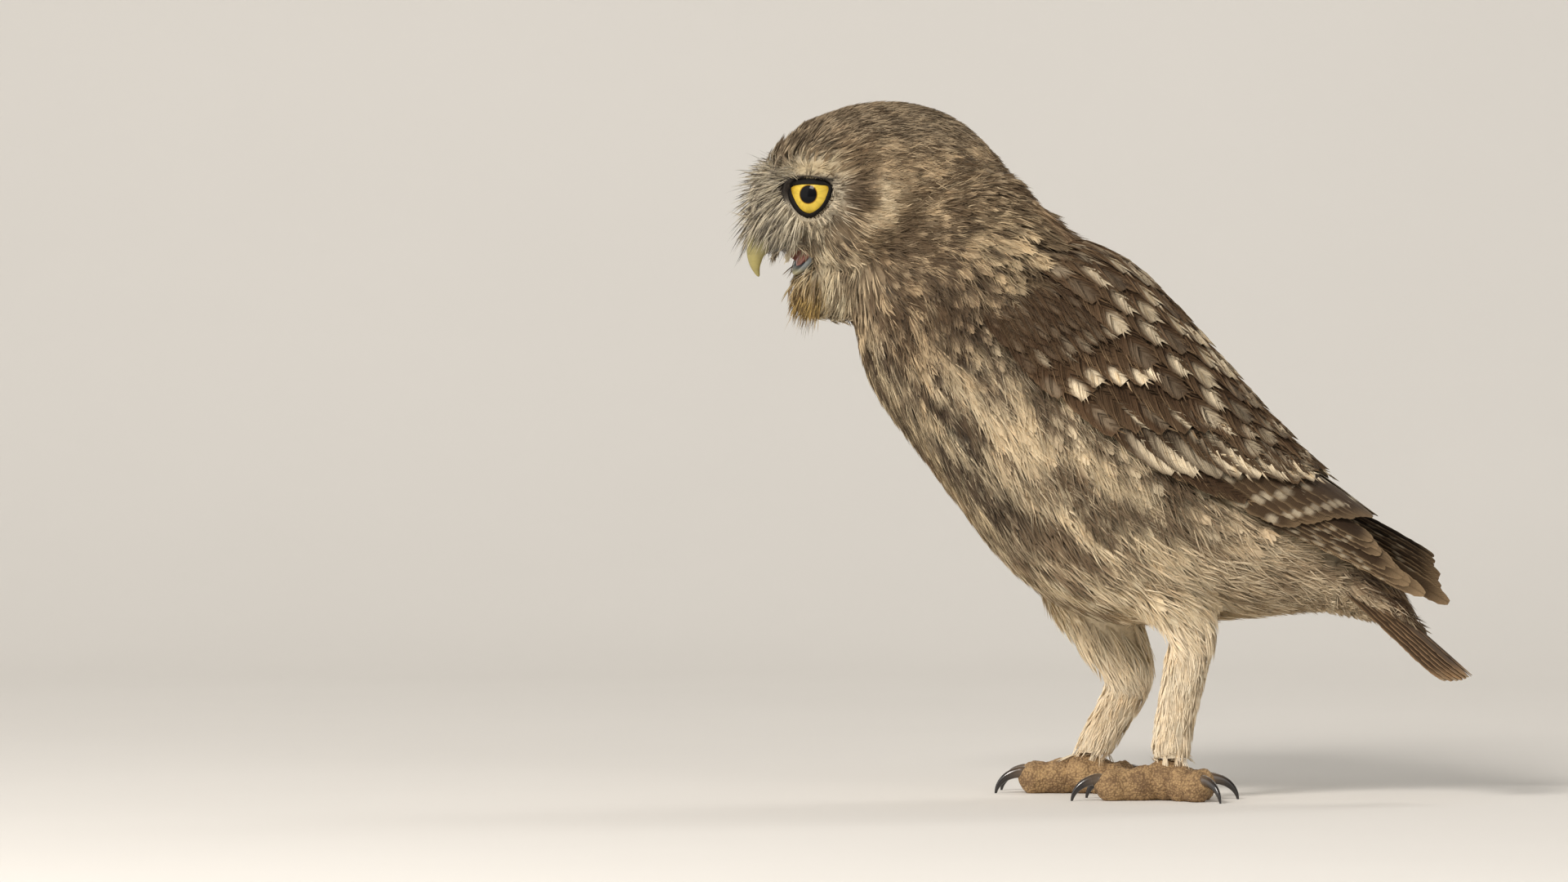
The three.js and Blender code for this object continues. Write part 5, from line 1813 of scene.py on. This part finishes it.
class OWL_OT_stage(bpy.types.Operator):
    """A pale floor that sweeps up behind, soft lights and the camera"""

    bl_idname = "owl.stage"
    bl_label = "Stage"

    def execute(self, context):
        scene = context.scene
        stage = scene.owl_stage
        self.floor(stage)
        self.camera(scene, stage)
        self.lights(scene, stage)
        scene.view_settings.view_transform = "Standard"
        return {"FINISHED"}

    def floor(self, stage):
        """A sheet that lies flat and then rises in a quarter round behind the owl."""
        front, reach, bend, top, side = 4000, 700.0, 500.0, 3500, 3000
        turn = np.radians(np.linspace(0, 90, 25))
        across = np.concatenate([[-front], reach + bend * np.sin(turn), [reach + bend]])
        high = np.concatenate([[0], bend * (1 - np.cos(turn)), [top]])
        along = np.linspace(-side, side, 3)
        points = np.array([(x, y, z) for y, z in zip(across, high) for x in along])
        quads = grid_quads(len(across) - 1, 2)
        mesh = bpy.data.meshes.new("floor")
        mesh.from_pydata((points * MM).tolist(), [], quads.tolist())
        mesh.polygons.foreach_set("use_smooth", np.ones(len(mesh.polygons), bool))
        mesh.materials.append(studio_floor())
        floor = bpy.data.objects.new("floor", mesh)
        floor.rotation_euler.z = stage.turn
        bpy.context.scene.collection.objects.link(floor)

    def camera(self, scene, stage):
        """A long lens that looks at the owl's left side."""
        right = Vector((math.cos(stage.turn), math.sin(stage.turn), 0))
        back = Vector((math.sin(stage.turn), -math.cos(stage.turn), 0)) * math.cos(stage.rise)
        back.z = math.sin(stage.rise)
        left, high = 0.1044, 0.0978  # of the picture's middle, in metres
        target = right * -left + Vector((0, 0, high))
        data = bpy.data.cameras.new("Camera")
        data.lens, data.sensor_width, data.clip_end = stage.lens, 36, 40
        camera = bpy.data.objects.new("Camera", data)
        up = back.cross(right)
        axes = Matrix((right, up, back)).transposed().to_4x4()
        camera.matrix_world = Matrix.Translation(target + back * stage.distance) @ axes
        scene.collection.objects.link(camera)
        scene.camera = camera

    def lights(self, scene, stage):
        """Soft lights, each with its place, size, power and colour, and a dim pale world."""
        places = (
            ("key", (-0.5, -1.35, 1.1), 0.5, stage.key, (1.0, 0.94, 0.88)),
            ("fill", (1.2, -1.2, 0.5), 1.2, stage.key * 0.25, (1.0, 0.97, 0.94)),
            ("low", (-1.3, -0.8, 0.45), 1.4, stage.key * 0.35, (1.0, 0.96, 0.92)),
            ("rim", (0.4, 1.3, 1.3), 0.9, stage.key * 0.4, (1.0, 0.97, 0.93)),
        )
        target = Vector((-0.02, 0.015, 0.09))
        for name, place, size, power, colour in places:
            data = bpy.data.lights.new(name, "AREA")
            data.energy, data.size, data.color = power, size, colour
            light = bpy.data.objects.new(name, data)
            light.location = place
            aim = target - Vector(place)
            light.rotation_euler = aim.to_track_quat("-Z", "Y").to_euler()
            scene.collection.objects.link(light)
        world = bpy.data.worlds.new("studio")
        world.use_nodes = True
        sky = world.node_tree.nodes["Background"]
        sky.inputs["Color"].default_value = (1.0, 0.985, 0.96, 1)
        sky.inputs["Strength"].default_value = 0.22
        scene.world = world


class OWL_PT_panel(bpy.types.Panel):
    """Lists the settings, and the owl's pieces in the order they are built"""

    bl_label = "Little owl"
    bl_idname = "OWL_PT_panel"
    bl_space_type = "VIEW_3D"
    bl_region_type = "UI"
    bl_category = "Owl"

    def draw(self, context):
        layout = self.layout
        for group in SETTINGS:
            settings = getattr(context.scene, group)
            for name in settings.bl_rna.properties.keys():
                if name not in ("rna_type", "name"):
                    layout.prop(settings, name)
        for operator in OPERATORS:
            layout.operator(operator.bl_idname)


SETTINGS = {
    "owl_coat": OwlCoatSettings,
    "owl_colours": OwlColourSettings,
    "owl_stage": OwlStageSettings,
}
OPERATORS = (
    OWL_OT_skin,
    OWL_OT_body_coat,
    OWL_OT_head_coat,
    OWL_OT_bristles,
    OWL_OT_leg_coat,
    OWL_OT_wings,
    OWL_OT_tail,
    OWL_OT_eyes,
    OWL_OT_bill,
    OWL_OT_feet,
    OWL_OT_stage,
)


CLASSES = (*SETTINGS.values(), *OPERATORS, OWL_PT_panel)


def register():
    for cls in CLASSES:
        bpy.utils.register_class(cls)
    for name, cls in SETTINGS.items():
        setattr(bpy.types.Scene, name, PointerProperty(type=cls))


def unregister():
    for name in SETTINGS:
        delattr(bpy.types.Scene, name)
    for cls in reversed(CLASSES):
        bpy.utils.unregister_class(cls)


def main():
    """Builds the owl and its stage."""
    register()
    for operator in OPERATORS:
        group, name = operator.bl_idname.split(".")
        getattr(getattr(bpy.ops, group), name)()


if __name__ == "__main__":
    main()
